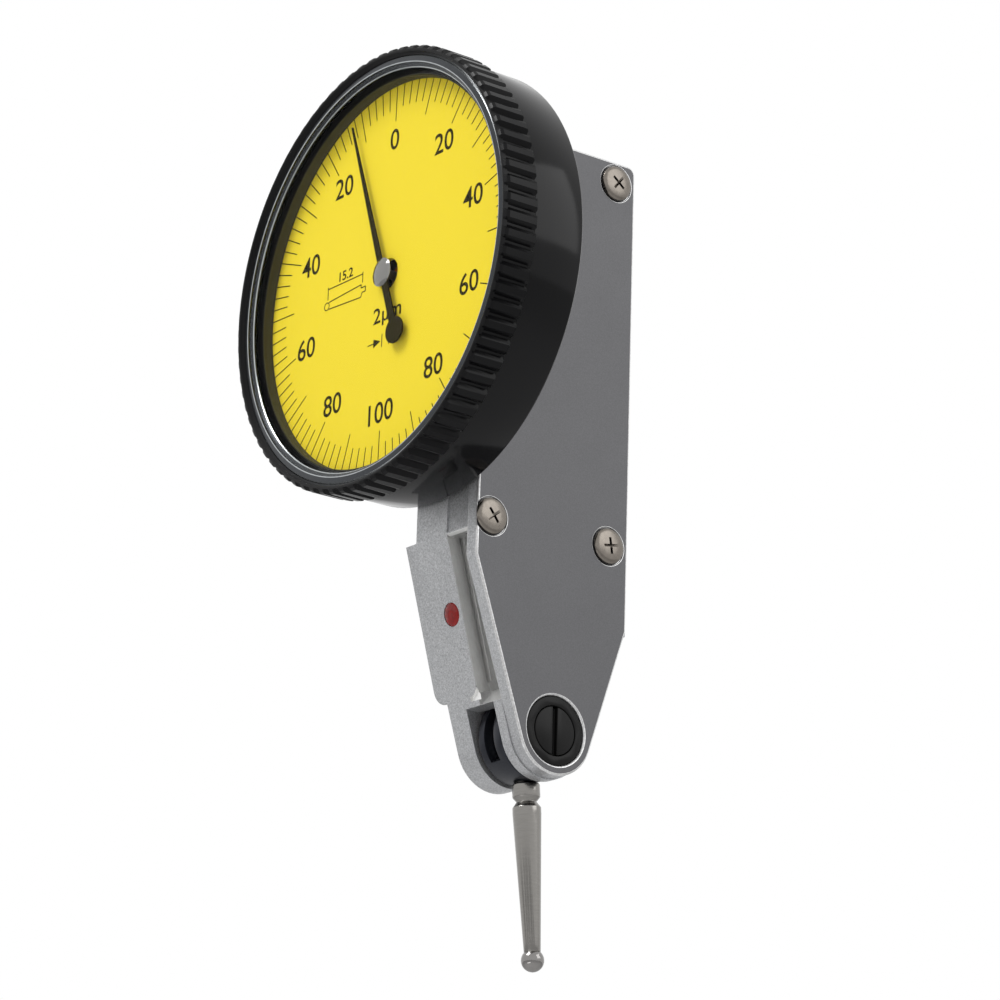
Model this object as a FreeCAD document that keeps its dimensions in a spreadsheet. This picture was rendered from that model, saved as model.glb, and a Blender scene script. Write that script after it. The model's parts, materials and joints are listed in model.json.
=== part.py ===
"""Dial test indicator: lever type, 40 mm dial, 0.002 mm graduations, 15.2 mm contact point.

The pieces are drawn about the centre of the dial (X right, Y back, Z up) and moved together, so
that the part's own origin is the centre of the rear dovetail rail's face.
"""
import FreeCAD
import Part
import os
import re

DIMENSIONS = {
    # the part's origin, seen from the dial's centre: the middle of the rear rail's face
    "rail_centre": -1.635,
    "rear_face": 28.6,
    "rear_level": -7.45,
    # bezel, a knurled ring that turns on the dial case
    "bezel_radius": 20.0,
    "bezel_width": 3.3,
    "bezel_chamfer": 0.25,
    "knurl_count": 80,
    "knurl_depth": 0.36,
    "knurl_floor": 0.34,
    "lip_radius": 19.3,
    "lip_depth": 0.42,
    "seat_radius": 18.4,
    "shelf_front": 1.35,
    "wall_radius": 17.7,
    "dial_front": 2.4,
    "sleeve_radius": 18.6,
    "sleeve_bore": 17.9,
    "sleeve_end": 5.6,
    "crystal_front": 0.45,
    "crystal_chamfer": 0.3,
    "dial_radius": 17.85,
    "dial_thickness": 0.4,
    "dial_hole": 1.4,
    "snap_bore": 16.9,
    "snap_thickness": 0.3,
    # dial case, the smooth cup behind the bezel
    "case_radius": 19.52,
    "case_front": 3.38,
    "case_back": 8.63,
    "case_chamfer": 0.22,
    "case_bore": 18.66,
    "case_floor": 7.23,
    "case_hole": 1.2,
    "case_screw_level": 9.6,
    "case_screw_place": 0.7,
    # frame: a flat casting with a vertical front, a slanted lower front and two ears
    "frame_left": -3.075,
    "cover_inner": 4.24,
    "cover_outer": 5.64,
    "frame_front": 8.73,
    "front_bend": -22.5,
    "front_slant": 16.0,
    "rear_slant": 18.1,
    "neck_step": 0.12,
    "pivot_y": 17.8,
    "pivot_z": -39.15,
    "ear_radius": 4.0,
    "slot_left": -0.67,
    "slot_right": 3.13,
    "slot_top": -37.0,
    "slot_middle": 1.23,
    "cavity_floor": -1.9,
    "cavity_front": 10.2,
    "cavity_back": 23.8,
    "cavity_top": 12.2,
    "cavity_step": -15.0,
    "cavity_bottom": -34.5,
    "channel_width": 4.2,
    "boss_radius": 1.22,
    "hub_room": 3.99,
    # dovetail rails: front, rear and top, all of one section
    "rail_width": 5.87,
    "rail_depth": 2.6,
    "rail_flank": 60.0,
    "front_rail_length": 14.2,
    "rail_corner": 1.0,
    "groove_start": 0.35,
    "groove_end": 14.0,
    "relief_width": 0.5,
    "relief_depth": 0.45,
    "rear_rail_top": 13.0,
    "rear_rail_bottom": -27.9,
    "top_rail_face": 16.2,
    "top_rail_back": 25.4,
    # side cover
    "cover_top": 14.4,
    "cover_back": 25.2,
    "cover_front": 8.76,
    "cover_slant": 19.46,
    "cover_round": 3.89,
    "cover_corner": 0.8,
    "cover_hole": 3.05,
    "hole_chamfer": 0.16,
    "cover_edge": 0.12,
    # cover screws
    "screw_front": 10.22,
    "screw_back": 23.04,
    "screw_top": 12.37,
    "screw_bottom": -21.67,
    "head_radius": 1.6,
    "head_height": 0.42,
    "head_crown": 0.24,
    "shank_radius": 0.8,
    "shank_length": 3.6,
    # clevis joint
    "pin_radius": 0.95,
    "running_gap": 0.05,
    "hub_radius": 3.84,
    "hub_width": 3.4,
    "slit_width": 1.3,
    "slit_radius": 3.0,
    "bridge_angle": 55.0,
    "washer_radius": 3.3,
    "washer_thickness": 0.15,
    "bearing_radius": 1.58,
    "bearing_bore": 1.0,
    "ring_bore": 2.2,
    "ring_radius": 3.0,
    "pivot_head": 2.12,
    "pivot_slot": 0.5,
    # contact point
    "stylus_lean": 4.7,
    "collar_radius": 1.2,
    "collar_length": 1.3,
    "neck_radius": 0.86,
    "taper_radius": 1.235,
    "tip_radius": 0.72,
    "point_length": 15.2,
    "ball_radius": 1.0,
    # red mark on the front rail
    "mark_radius": 1.05,
    "mark_place": 6.88,
    "mark_side": -0.14,
    # lever and sector gear
    "lever_thickness": 1.0,
    "lever_width": 2.0,
    "eye_radius": 2.9,
    "lever_length": 23.0,
    "crank_radius": 2.564,
    "drive_pin": 0.4,
    "limit_place": 20.0,
    "limit_pin": 0.3,
    "limit_gap": 0.15,
    "sector_level": 2.5,
    "sector_thickness": 0.7,
    "sector_teeth": 140,
    "sector_span": 24.0,
    "crown_y": 16.6,
    "arbor_pinion_teeth": 14,
    "arbor_radius": 0.45,
    "bridge_level": 3.5,
    "bridge_thickness": 0.64,
    # crown wheel and pointer pinion
    "crown_radius": 5.75,
    "crown_teeth": 60,
    "crown_face": 1.12,
    "crown_thickness": 0.5,
    "pinion_teeth": 9,
    "pinion_front": 10.35,
    "pinion_length": 1.0,
    "spindle_radius": 0.4,
    "spindle_end": 12.9,
    # pointer
    "pointer_front": 1.72,
    "pointer_thickness": 0.18,
    "pointer_reach": 16.3,
    "pointer_tail": 5.1,
    "tail_radius": 1.15,
    "pointer_rest": -19.8,
    "cap_radius": 1.3,
    "cap_front": 1.42,
    "coil_count": 4,
    "coil_pitch": 0.62,
    "coil_front": 5.2,
    "coil_height": 0.3,
}

# sizes that follow from the ones above
DERIVED = {
    "frame_back": "rear_face - rail_depth",
    "frame_top": "top_rail_face - rail_depth",
    "knurl_root": "bezel_radius - knurl_depth",
    "knurl_half": "bezel_radius * 180 / knurl_count * 0.01745 * 0.46",
    "rail_half": "rail_width / 2",
    "root_half": "rail_width / 2 - rail_depth / tan(rail_flank)",
    "rail_right": "rail_centre + rail_width / 2",
    "root_right": "rail_right - rail_depth / tan(rail_flank)",
    "ear_front_y": "pivot_y - ear_radius * cos(front_slant)",
    "ear_front_z": "pivot_z - ear_radius * sin(front_slant)",
    "ear_rear_y": "pivot_y + ear_radius * cos(rear_slant)",
    "ear_rear_z": "pivot_z - ear_radius * sin(rear_slant)",
    "rail_end_y": "frame_front + front_rail_length * sin(front_slant)",
    "rail_end_z": "front_bend - front_rail_length * cos(front_slant)",
    "rear_bend": "ear_rear_z + (frame_back - ear_rear_y) / tan(rear_slant)",
    "cover_front_y": "pivot_y - cover_round * cos(cover_slant)",
    "cover_front_z": "pivot_z - cover_round * sin(cover_slant)",
    "cover_rear_y": "pivot_y + cover_round * cos(rear_slant)",
    "cover_rear_z": "pivot_z - cover_round * sin(rear_slant)",
    "cover_bend": "cover_front_z + (cover_front_y - cover_front) / tan(cover_slant)",
    "cover_heel": "cover_rear_z + (cover_back - cover_rear_y) / tan(rear_slant)",
    "slot_width": "slot_right - slot_left",
    "sector_z": "pivot_z + lever_length + crank_radius",
    "mesh_distance": "sqrt((pivot_y - crown_y)^2 + sector_z^2)",
    "mesh_angle": "atan((pivot_y - crown_y) / -sector_z) / 1 deg",
    "gear_module": "2 * mesh_distance / (sector_teeth + arbor_pinion_teeth)",
    "sector_radius": "gear_module * sector_teeth / 2",
    "arbor_pinion": "gear_module * arbor_pinion_teeth / 2",
    "pinion_radius": "crown_radius * pinion_teeth / crown_teeth",
    "crown_pitch": "crown_radius * 6.28319 / crown_teeth",
    "ball_distance": "hub_radius + point_length",
}

os.makedirs("parts", exist_ok=True)
doc = FreeCAD.newDocument("DialTestIndicator")
sheet = doc.addObject("Spreadsheet::Sheet", "Sizes")
for row, (alias, value) in enumerate(list(DIMENSIONS.items()) + list(DERIVED.items()), start=1):
    sheet.set(f"A{row}", alias)
    sheet.set(f"B{row}", str(value) if alias in DIMENSIONS else f"={value}")
    sheet.setAlias(f"B{row}", alias)
doc.recompute()

WORD = re.compile(r"[a-z_]+")
PIECES = []


def bound(formula):
    """Point every size named in a formula at its cell in the sheet."""
    return WORD.sub(lambda word: "Sizes." + word[0] if word[0] in SIZES else word[0], str(formula))


def number(formula):
    """Work a formula out as a plain number."""
    return float(sheet.evalExpression(str(formula)))


SIZES = set(DIMENSIONS) | set(DERIVED)


def place(obj, x="0", y="0", z="0", turn=None, axis=(1, 0, 0)):
    """Put a piece where it belongs, measured from the dial's centre, in the part's own frame."""
    obj.Placement.Rotation = FreeCAD.Rotation(FreeCAD.Vector(*axis), number(turn) if turn else 0)
    if turn:
        obj.setExpression("Placement.Rotation.Angle", bound(turn))
    obj.setExpression("Placement.Base.x", bound(f"({x}) - rail_centre"))
    obj.setExpression("Placement.Base.y", bound(f"({y}) - rear_face"))
    obj.setExpression("Placement.Base.z", bound(f"({z}) - rear_level"))


def keep(obj, name, **where):
    """Name a finished piece, place it and list it for export."""
    obj.Label = name
    place(obj, **where)
    PIECES.append(obj)
    return obj


class Solid:
    """A PartDesign body built up from sketches bound to the sheet."""

    def __init__(self, name, **where):
        self.name = name
        self.body = doc.addObject("PartDesign::Body", name + "_body")
        keep(self.body, name, **where)
        self.count = 0

    def new(self, kind):
        """Add a feature or a sketch with a running number."""
        self.count += 1
        return self.body.newObject(kind, f"{self.name}_{self.count}")

    def sketch(self, plane, loops, level="0", offset=None, tilt=None):
        """Draw closed loops on a plane of the body's own origin, moved along its normal."""
        sketch = self.new("Sketcher::SketchObject")
        base = [item for item in self.body.Origin.OriginFeatures if item.Role == plane][0]
        sketch.AttachmentSupport = [(base, "")]
        sketch.MapMode = "FlatFace"
        if tilt:
            rotation = FreeCAD.Rotation(FreeCAD.Vector(1, 0, 0), number(tilt))
            sketch.AttachmentOffset = FreeCAD.Placement(FreeCAD.Vector(), rotation)
            sketch.setExpression("AttachmentOffset.Rotation.Angle", bound(tilt))
        for letter, value in zip("xyz", offset or ("0", "0", level)):
            sketch.setExpression(f"AttachmentOffset.Base.{letter}", bound(value))
        for loop in loops:
            loop(sketch)
        return sketch

    def pad(self, plane, loops, length, subtract=False, back=False, **where):
        """Add or cut a straight extrusion of a sketch."""
        sketch = self.sketch(plane, loops, **where)
        feature = self.new("PartDesign::Pocket" if subtract else "PartDesign::Pad")
        feature.Profile = sketch
        feature.setExpression("Length", bound(length))
        feature.Reversed = back != subtract
        return feature

    def cut(self, plane, loops, length, **where):
        """Cut a straight extrusion of a sketch along the plane's normal."""
        return self.pad(plane, loops, length, subtract=True, **where)

    def turn(self, loops, plane="XY_Plane", axis="V_Axis", subtract=False, **where):
        """Add or cut a full turn of a sketch about one of its own axes."""
        sketch = self.sketch(plane, loops, **where)
        feature = self.new("PartDesign::Groove" if subtract else "PartDesign::Revolution")
        feature.Profile = sketch
        feature.ReferenceAxis = (sketch, [axis])
        feature.Angle = 360
        return feature

    def repeat(self, feature, axis, count, span="360"):
        """Repeat a feature about an axis of the body's origin."""
        pattern = self.new("PartDesign::PolarPattern")
        base = [item for item in self.body.Origin.OriginFeatures if item.Role == axis][0]
        pattern.Originals = [feature]
        pattern.Axis = (base, [""])
        pattern.setExpression("Angle", bound(span))
        pattern.setExpression("Occurrences", bound(count))
        self.body.Tip = pattern
        return pattern

    def edges(self, kind, size, chosen):
        """Round or chamfer the edges of the tip that a test picks."""
        doc.recompute()
        tip = self.body.Tip
        names = [f"Edge{i}" for i, edge in enumerate(tip.Shape.Edges, start=1) if chosen(edge)]
        feature = self.new("PartDesign::" + kind)
        feature.Base = (tip, names)
        feature.setExpression("Radius" if kind == "Fillet" else "Size", bound(size))
        return feature


def polygon(*points):
    """A closed outline whose corners are pairs of formulas."""

    def draw(sketch):
        corners = [FreeCAD.Vector(number(u), number(v), 0) for u, v in points]
        first = sketch.GeometryCount
        for i, corner in enumerate(corners):
            sketch.addGeometry(Part.LineSegment(corner, corners[(i + 1) % len(corners)]))
        for i, (u, v) in enumerate(points):
            line = first + i
            following = first + (i + 1) % len(points)
            sketch.addConstraint(constraint("Coincident", line, 2, following, 1))
            pin_down(sketch, line, 1, u, v)

    return draw


def circle(u, v, radius):
    """A circle whose centre and radius are formulas."""

    def draw(sketch):
        centre = FreeCAD.Vector(number(u), number(v), 0)
        index = sketch.addGeometry(Part.Circle(centre, FreeCAD.Vector(0, 0, 1), number(radius)))
        pin_down(sketch, index, 3, u, v)
        size = sketch.addConstraint(constraint("Radius", index, number(radius)))
        sketch.setExpression(f"Constraints[{size}]", bound(radius))

    return draw


def constraint(*values):
    """A sketch constraint; its module loads after FreeCAD itself."""
    import Sketcher

    return Sketcher.Constraint(*values)


def pin_down(sketch, index, point, u, v):
    """Fix a sketch point at two formulas, measured from the sketch's origin."""
    for kind, formula in (("DistanceX", u), ("DistanceY", v)):
        size = sketch.addConstraint(constraint(kind, -1, 1, index, point, number(formula)))
        sketch.setExpression(f"Constraints[{size}]", bound(formula))


def box(y_low, y_high, z_low, z_high):
    """A rectangle between two pairs of formulas."""
    return polygon((y_low, z_low), (y_high, z_low), (y_high, z_high), (y_low, z_high))


def at(radius, angle):
    """A corner at a distance and an angle (from the sketch's second axis) about its origin."""
    return f"({radius}) * sin({angle})", f"({radius}) * cos({angle})"


def along(edge, x=0, y=0, z=0):
    """True where an edge is straight and runs along the given direction."""
    if edge.Curve.TypeId != "Part::GeomLine":
        return False
    direction = edge.tangentAt(edge.FirstParameter)
    return abs(abs(direction.dot(FreeCAD.Vector(x, y, z))) - 1) < 1e-6


def primitive(kind, name, **sizes):
    """A Part primitive with its sizes bound to the sheet."""
    obj = doc.addObject("Part::" + kind, name)
    for key, formula in sizes.items():
        obj.setExpression(key, bound(formula))
    return obj


def rod(name, radius, length, x="0", y="0", z="0", axis="X"):
    """A round rod that starts at a point and runs along +X, or along +Y."""
    obj = primitive("Cylinder", name, Radius=radius, Height=length)
    direction = {"X": FreeCAD.Vector(0, 1, 0), "Y": FreeCAD.Vector(1, 0, 0)}[axis]
    obj.Placement.Rotation = FreeCAD.Rotation(direction, 90 if axis == "X" else -90)
    for letter, formula in zip("xyz", (x, y, z)):
        obj.setExpression(f"Placement.Base.{letter}", bound(formula))
    return obj


def join(kind, name, parts):
    """Fuse or group shapes."""
    obj = doc.addObject("Part::" + kind, name)
    if kind == "Compound":
        obj.Links = parts
    else:
        obj.Shapes = parts
    return obj


def tube(name, outer, inner, length, **where):
    """A round tube."""
    obj = doc.addObject("Part::Cut", name)
    obj.Base = rod(name + "_outer", outer, length, **where)
    obj.Tool = rod(name + "_inner", inner, length, **where)
    return obj


# ---- frame casting -------------------------------------------------------------------------

frame = Solid("frame_casting")
frame_outline = polygon(
    ("frame_front", "frame_top"),
    ("frame_front", "front_bend"),
    ("rail_end_y", "rail_end_z"),
    ("ear_front_y", "ear_front_z"),
    ("ear_rear_y", "ear_rear_z"),
    ("frame_back", "rear_bend"),
    ("frame_back", "frame_top"),
)
frame_width = "cover_inner - frame_left"
frame.pad("YZ_Plane", [frame_outline], frame_width, level="frame_left")
frame.pad("YZ_Plane", [circle("pivot_y", "pivot_z", "ear_radius")], frame_width, level="frame_left")

# the room for the movement, open to the right and closed by the cover
cavity = polygon(
    ("cavity_front", "cavity_top"),
    ("cavity_front", "cavity_step"),
    ("13.0", "-24"),
    ("16.0", "cavity_bottom"),
    ("21.2", "cavity_bottom"),
    ("cavity_back", "-27"),
    ("cavity_back", "cavity_top"),
)
frame.cut("YZ_Plane", [cavity], "cover_inner - cavity_floor", level="cavity_floor")
corners = [
    ("screw_front", "screw_top"),
    ("screw_back", "screw_top"),
    ("screw_front", "screw_bottom"),
    ("screw_back", "screw_bottom"),
]
boss_length = "cover_inner - cavity_floor"
for corner in corners:
    frame.pad("YZ_Plane", [circle(*corner, "boss_radius")], boss_length, level="cavity_floor")

# the slot between the ears, and the way up from it for the lever
slot = box("pivot_y - 12", "pivot_y + 8", "pivot_z - 8", "slot_top")
frame.cut("YZ_Plane", [slot], "slot_width", level="slot_left")
frame.cut("YZ_Plane", [circle("pivot_y", "pivot_z", "hub_room")], "slot_width", level="slot_left")
channel = box("pivot_y - channel_width / 2", "pivot_y + channel_width / 2", "slot_top - 1", "cavity_bottom + 1")
frame.cut("YZ_Plane", [channel], "2.2", level="slot_middle - 1.1")

# the rails: the rear one and the top one stand on the frame, the front one is its slanted face
rail_section = [
    ("rail_half", "0"),
    ("-rail_half", "0"),
    ("-root_half", "rail_depth"),
    ("-root_half", "rail_depth + 0.5"),
    ("root_half", "rail_depth + 0.5"),
    ("root_half", "rail_depth"),
]
rear_section = polygon(*[(f"rail_centre + {u}", f"rear_face - ({v})") for u, v in rail_section])
frame.pad("XY_Plane", [rear_section], "rear_rail_top - rear_rail_bottom", level="rear_rail_bottom")
top_section = polygon(*[(f"rail_centre + {u}", f"top_rail_face - ({v})") for u, v in rail_section])
frame.pad("XZ_Plane", [top_section], "top_rail_back - frame_front", level="-top_rail_back")
front_section = polygon(*[(f"rail_centre + {u}", v) for u, v in rail_section])
front_place = {"offset": ("0", "frame_front", "front_bend"), "tilt": "front_slant"}
frame.pad("XY_Plane", [front_section], "front_rail_length", back=True, **front_place)

# the groove between the front rail and the cover, with a relief at its root
groove_place = {
    "offset": (
        "0",
        "frame_front + groove_start * sin(front_slant)",
        "front_bend - groove_start * cos(front_slant)",
    ),
    "tilt": "front_slant",
}
groove = polygon(
    ("rail_right", "-1"),
    ("rail_right", "0"),
    ("root_right", "rail_depth"),
    ("cover_inner + 1", "rail_depth"),
    ("cover_inner + 1", "-1"),
)
groove_length = "groove_end - groove_start"
frame.cut("XY_Plane", [groove], groove_length, back=True, **groove_place)
relief = polygon(
    ("root_right - 0.1", "rail_depth - 0.2"),
    ("root_right - 0.1", "rail_depth + relief_depth"),
    ("root_right + relief_width", "rail_depth + relief_depth"),
    ("root_right + relief_width", "rail_depth - 0.2"),
)
frame.cut("XY_Plane", [relief], groove_length + " - 1", back=True, **groove_place)

# the step on the neck beside the front rail
step = box("rail_right", "cover_inner + 1", "front_bend", "-17")
frame.cut("XZ_Plane", [step], "neck_step + 1", level="-frame_front - neck_step")

# bores: pivot, pointer spindle, jewel recess, screws
frame.cut("YZ_Plane", [circle("pivot_y", "pivot_z", "bearing_radius")], "20", level="-10")
ring_seat = circle("pivot_y", "pivot_z", "ring_radius + 0.02")
frame.cut("YZ_Plane", [ring_seat], "2", level="cover_inner - 0.5")
frame.cut("XZ_Plane", [circle("0", "0", "case_hole")], "4", level="-cavity_front - 1")
for level in ("case_screw_level", "-case_screw_level"):
    frame.cut("XZ_Plane", [circle("case_screw_place", level, "shank_radius")], "1.3", level="-frame_front - 1.2")
for corner in corners:
    frame.cut("YZ_Plane", [circle(*corner, "shank_radius")], "shank_length", level="cover_outer - shank_length")
mark_place = {"offset": ("0", "frame_front", "front_bend"), "tilt": "front_slant + 90"}
frame.cut("XY_Plane", [circle("mark_side", "-mark_place", "mark_radius")], "0.7", back=True, **mark_place)
for y, z in (("crown_y", "0"), ("pivot_y", "sector_z")):
    frame.cut("YZ_Plane", [circle(y, z, "0.9")], "0.9", level="cavity_floor - 0.8")


# ---- side cover and its screws -------------------------------------------------------------

cover = Solid("side_cover")
cover_outline = polygon(
    ("cover_front", "cover_top"),
    ("cover_front", "cover_bend"),
    ("cover_front_y", "cover_front_z"),
    ("cover_rear_y", "cover_rear_z"),
    ("cover_back", "cover_heel"),
    ("cover_back", "cover_top"),
)
cover_thickness = "cover_outer - cover_inner"
cover.pad("YZ_Plane", [cover_outline], cover_thickness, level="cover_inner")
cover.pad("YZ_Plane", [circle("pivot_y", "pivot_z", "cover_round")], cover_thickness, level="cover_inner")
cover.edges("Fillet", "cover_corner", lambda e: along(e, x=1) and e.Vertexes[0].Z > number("cover_top") - 0.1)
cover.cut("YZ_Plane", [circle("pivot_y", "pivot_z", "cover_hole")], "4", level="cover_inner - 1")
for corner in corners:
    cover.cut("YZ_Plane", [circle(*corner, "shank_radius + 0.05")], "4", level="cover_inner - 1")
cover.edges(
    "Chamfer",
    "cover_edge",
    lambda e: min(v.X for v in e.Vertexes) > number("cover_outer") - 1e-4 and e.Length > 6,
)

screws = []
for index, (y, z) in enumerate(corners, start=1):
    name = f"cover_screw_{index}"
    shank = rod(name + "_shank", "shank_radius - 0.02", "shank_length", x="cover_outer - shank_length", y=y, z=z)
    head = rod(name + "_head", "head_radius", "head_height - head_crown", x="cover_outer", y=y, z=z)
    crown = primitive("Cone", name + "_crown", Radius1="head_radius", Radius2="head_radius - 0.45", Height="head_crown")
    crown.Placement.Rotation = FreeCAD.Rotation(FreeCAD.Vector(0, 1, 0), 90)
    crown.setExpression("Placement.Base.x", bound("cover_outer + head_height - head_crown"))
    crown.setExpression("Placement.Base.y", bound(y))
    crown.setExpression("Placement.Base.z", bound(z))
    screws.append(join("MultiFuse", name, [shank, head, crown]))
keep(join("Compound", "cover_screw_group", screws), "cover_screws")


# ---- bezel, crystal and dial: they turn together -------------------------------------------

bezel = Solid("bezel_ring")
bezel.turn([polygon(
    ("bezel_radius", "bezel_chamfer"),
    ("bezel_radius - bezel_chamfer", "0"),
    ("lip_radius", "0"),
    ("seat_radius", "lip_depth"),
    ("seat_radius", "shelf_front"),
    ("wall_radius", "shelf_front"),
    ("wall_radius", "dial_front"),
    ("sleeve_bore", "dial_front"),
    ("sleeve_bore", "sleeve_end"),
    ("sleeve_radius", "sleeve_end"),
    ("sleeve_radius", "bezel_width"),
    ("bezel_radius", "bezel_width"),
)])
flute = polygon(
    ("-knurl_half", "bezel_radius + 0.1"),
    ("-knurl_half * 0.45", "knurl_root"),
    ("knurl_half * 0.45", "knurl_root"),
    ("knurl_half", "bezel_radius + 0.1"),
)
first_flute = bezel.cut("XZ_Plane", [flute], "bezel_width + 1", level="-bezel_width - 0.5")
bezel.repeat(first_flute, "Y_Axis", "knurl_count")

crystal = Solid("crystal")
crystal.turn([polygon(
    ("0", "crystal_front"),
    ("seat_radius - crystal_chamfer - 0.02", "crystal_front"),
    ("seat_radius - 0.02", "crystal_front + crystal_chamfer"),
    ("seat_radius - 0.02", "shelf_front"),
    ("0", "shelf_front"),
)])

dial = Solid("dial_face")
dial.turn([polygon(
    ("dial_hole", "dial_front"),
    ("dial_radius", "dial_front"),
    ("dial_radius", "dial_front + dial_thickness"),
    ("dial_hole", "dial_front + dial_thickness"),
)])

snap = Solid("dial_snap_ring")
snap.turn([polygon(
    ("snap_bore", "dial_front + dial_thickness"),
    ("dial_radius", "dial_front + dial_thickness"),
    ("dial_radius", "dial_front + dial_thickness + snap_thickness"),
    ("snap_bore", "dial_front + dial_thickness + snap_thickness"),
)])
snap_gap = box("-1.6", "1.6", "snap_bore - 1", "dial_radius + 1")
snap.cut("XZ_Plane", [snap_gap], "4", level="-5")


# ---- dial case -----------------------------------------------------------------------------

case = Solid("dial_case")
case.turn([polygon(
    ("case_hole", "case_floor"),
    ("case_bore", "case_floor"),
    ("case_bore", "case_front"),
    ("case_radius", "case_front"),
    ("case_radius", "case_back - case_chamfer"),
    ("case_radius - case_chamfer", "case_back"),
    ("case_hole", "case_back"),
)])
for level in ("case_screw_level", "-case_screw_level"):
    case.cut("XZ_Plane", [circle("case_screw_place", level, "shank_radius + 0.02")], "4", level="-case_back - 1")

case_screws = []
for index, level in enumerate(("case_screw_level", "-case_screw_level"), start=1):
    name = f"case_screw_{index}"
    there = {"x": "case_screw_place", "z": level, "axis": "Y"}
    shank = rod(name + "_shank", "shank_radius - 0.02", "2.5", y="case_floor", **there)
    head = rod(name + "_head", "head_radius", "0.7", y="case_floor - 0.7", **there)
    case_screws.append(join("MultiFuse", name, [shank, head]))
keep(join("Compound", "case_screw_group", case_screws), "case_screws")

spring_ring = Solid("bezel_spring")
spring_ring.turn([polygon(
    ("case_bore - 1.2", "sleeve_end + 0.06"),
    ("case_bore", "sleeve_end + 0.06"),
    ("case_bore", "sleeve_end + 0.36"),
    ("case_bore - 1.2", "sleeve_end + 0.36"),
)])
spring_ring.cut("XZ_Plane", [box("-2.5", "2.5", "-case_radius", "-case_bore + 1.6")], "2", level="-sleeve_end - 1.4")


# ---- clevis joint: ring, screws, bearings, washers -----------------------------------------

pivot = {"y": "pivot_y", "z": "pivot_z"}

black_ring = Solid("pivot_ring", **pivot)
black_ring.pad("YZ_Plane", [circle("0", "0", "ring_radius"), circle("0", "0", "ring_bore")], "1.75", level="cover_inner - 0.5")

for name, head_level, head_length, shank_level, shank_length, mouth in (
    ("right_pivot_screw", "cover_outer - 1.1", "0.95", "3.72", "0.9", "cover_outer - 0.55"),
    ("left_pivot_screw", "frame_left + 0.1", "0.6", "frame_left + 0.6", "0.55", "frame_left - 0.1"),
):
    screw = Solid(name, **pivot)
    radius = "pivot_head" if name.startswith("right") else "bearing_radius - 0.03"
    screw.pad("YZ_Plane", [circle("0", "0", radius)], head_length, level=head_level)
    screw.pad("YZ_Plane", [circle("0", "0", "bearing_radius - 0.1")], shank_length, level=shank_level)
    screw.cut("YZ_Plane", [box("-pivot_slot / 2", "pivot_slot / 2", "-3", "3")], "0.55", level=mouth)

bearings = [
    tube("left_bearing", "bearing_radius", "bearing_bore", "1.2", x="-1.9"),
    tube("right_bearing", "bearing_radius", "bearing_bore", "0.56", x="slot_right"),
]
keep(join("Compound", "bearing_group", bearings), "pivot_bearings", **pivot)

washers = [
    tube("left_washer", "washer_radius", "bearing_bore", "washer_thickness", x="slot_left"),
    tube("right_washer", "washer_radius", "bearing_bore", "washer_thickness", x="slot_right - washer_thickness"),
]
keep(join("Compound", "washer_group", washers), "pivot_washers", **pivot)


# ---- stylus: hub, shaft and ball ------------------------------------------------------------

tilted = dict(pivot, turn="stylus_lean")

hub = Solid("stylus_hub", **tilted)
hub_loops = [circle("0", "0", "hub_radius"), circle("0", "0", "bearing_bore")]
hub.pad("YZ_Plane", hub_loops, "hub_width", level="slot_middle - hub_width / 2")
slit_level = "slot_middle - slit_width / 2"
hub.cut("YZ_Plane", [circle("0", "0", "slit_radius")], "slit_width", level=slit_level)
slit_mouth = polygon(
    ("0", "0"),
    at("6", "180 - bridge_angle"),
    at("7", "90"),
    at("8", "45"),
    at("8", "-45"),
    at("7", "-90"),
    at("6", "bridge_angle - 180"),
)
hub.cut("YZ_Plane", [slit_mouth], "slit_width", level=slit_level)
hub.edges("Chamfer", "0.25", lambda e: abs(e.BoundBox.XLength) < 1e-6 and e.BoundBox.ZLength > 7.5)

shaft = Solid("stylus", x="slot_middle", **tilted)
shaft.turn([polygon(
    ("0", "-slit_radius - 0.04"),
    ("0.8", "-slit_radius - 0.04"),
    ("0.8", "-hub_radius"),
    ("collar_radius - 0.12", "-hub_radius"),
    ("collar_radius", "-hub_radius - 0.12"),
    ("collar_radius", "-hub_radius - collar_length + 0.1"),
    ("neck_radius", "-hub_radius - collar_length - 0.3"),
    ("taper_radius", "-hub_radius - collar_length - 0.8"),
    ("taper_radius", "-hub_radius - collar_length - 1.4"),
    ("tip_radius", "-ball_distance + 0.694"),
    ("0", "-ball_distance + 0.694"),
)], plane="XZ_Plane")
seat = circle("0", "-slit_radius - 0.5", "0.8")
hub.cut("XY_Plane", [circle("slot_middle", "0", "0.8")], "2", level="-hub_radius - 0.5")

ball = primitive("Sphere", "ball_shape", Radius="ball_radius")
ball_cut = doc.addObject("Part::Cut", "ball_cut")
ball_cut.Base = ball
ball_cut.Tool = primitive("Cylinder", "ball_seat", Radius="tip_radius", Height="2")
ball_cut.Tool.setExpression("Placement.Base.z", "0.694")
keep(
    ball_cut,
    "contact_ball",
    x="slot_middle",
    y="pivot_y + ball_distance * sin(stylus_lean)",
    z="pivot_z - ball_distance * cos(stylus_lean)",
    turn="stylus_lean",
)

# ---- red mark on the front rail --------------------------------------------------------------

mark = Solid(
    "red_mark",
    x="mark_side",
    y="frame_front + mark_place * sin(front_slant)",
    z="front_bend - mark_place * cos(front_slant)",
    turn="front_slant",
)
mark.turn([polygon(
    ("0", "-0.1"),
    ("mark_radius * 0.5", "-0.07"),
    ("mark_radius * 0.85", "-0.02"),
    ("mark_radius - 0.02", "0.06"),
    ("mark_radius - 0.02", "0.68"),
    ("0", "0.68"),
)])


# ---- lever and sector gear -------------------------------------------------------------------

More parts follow.
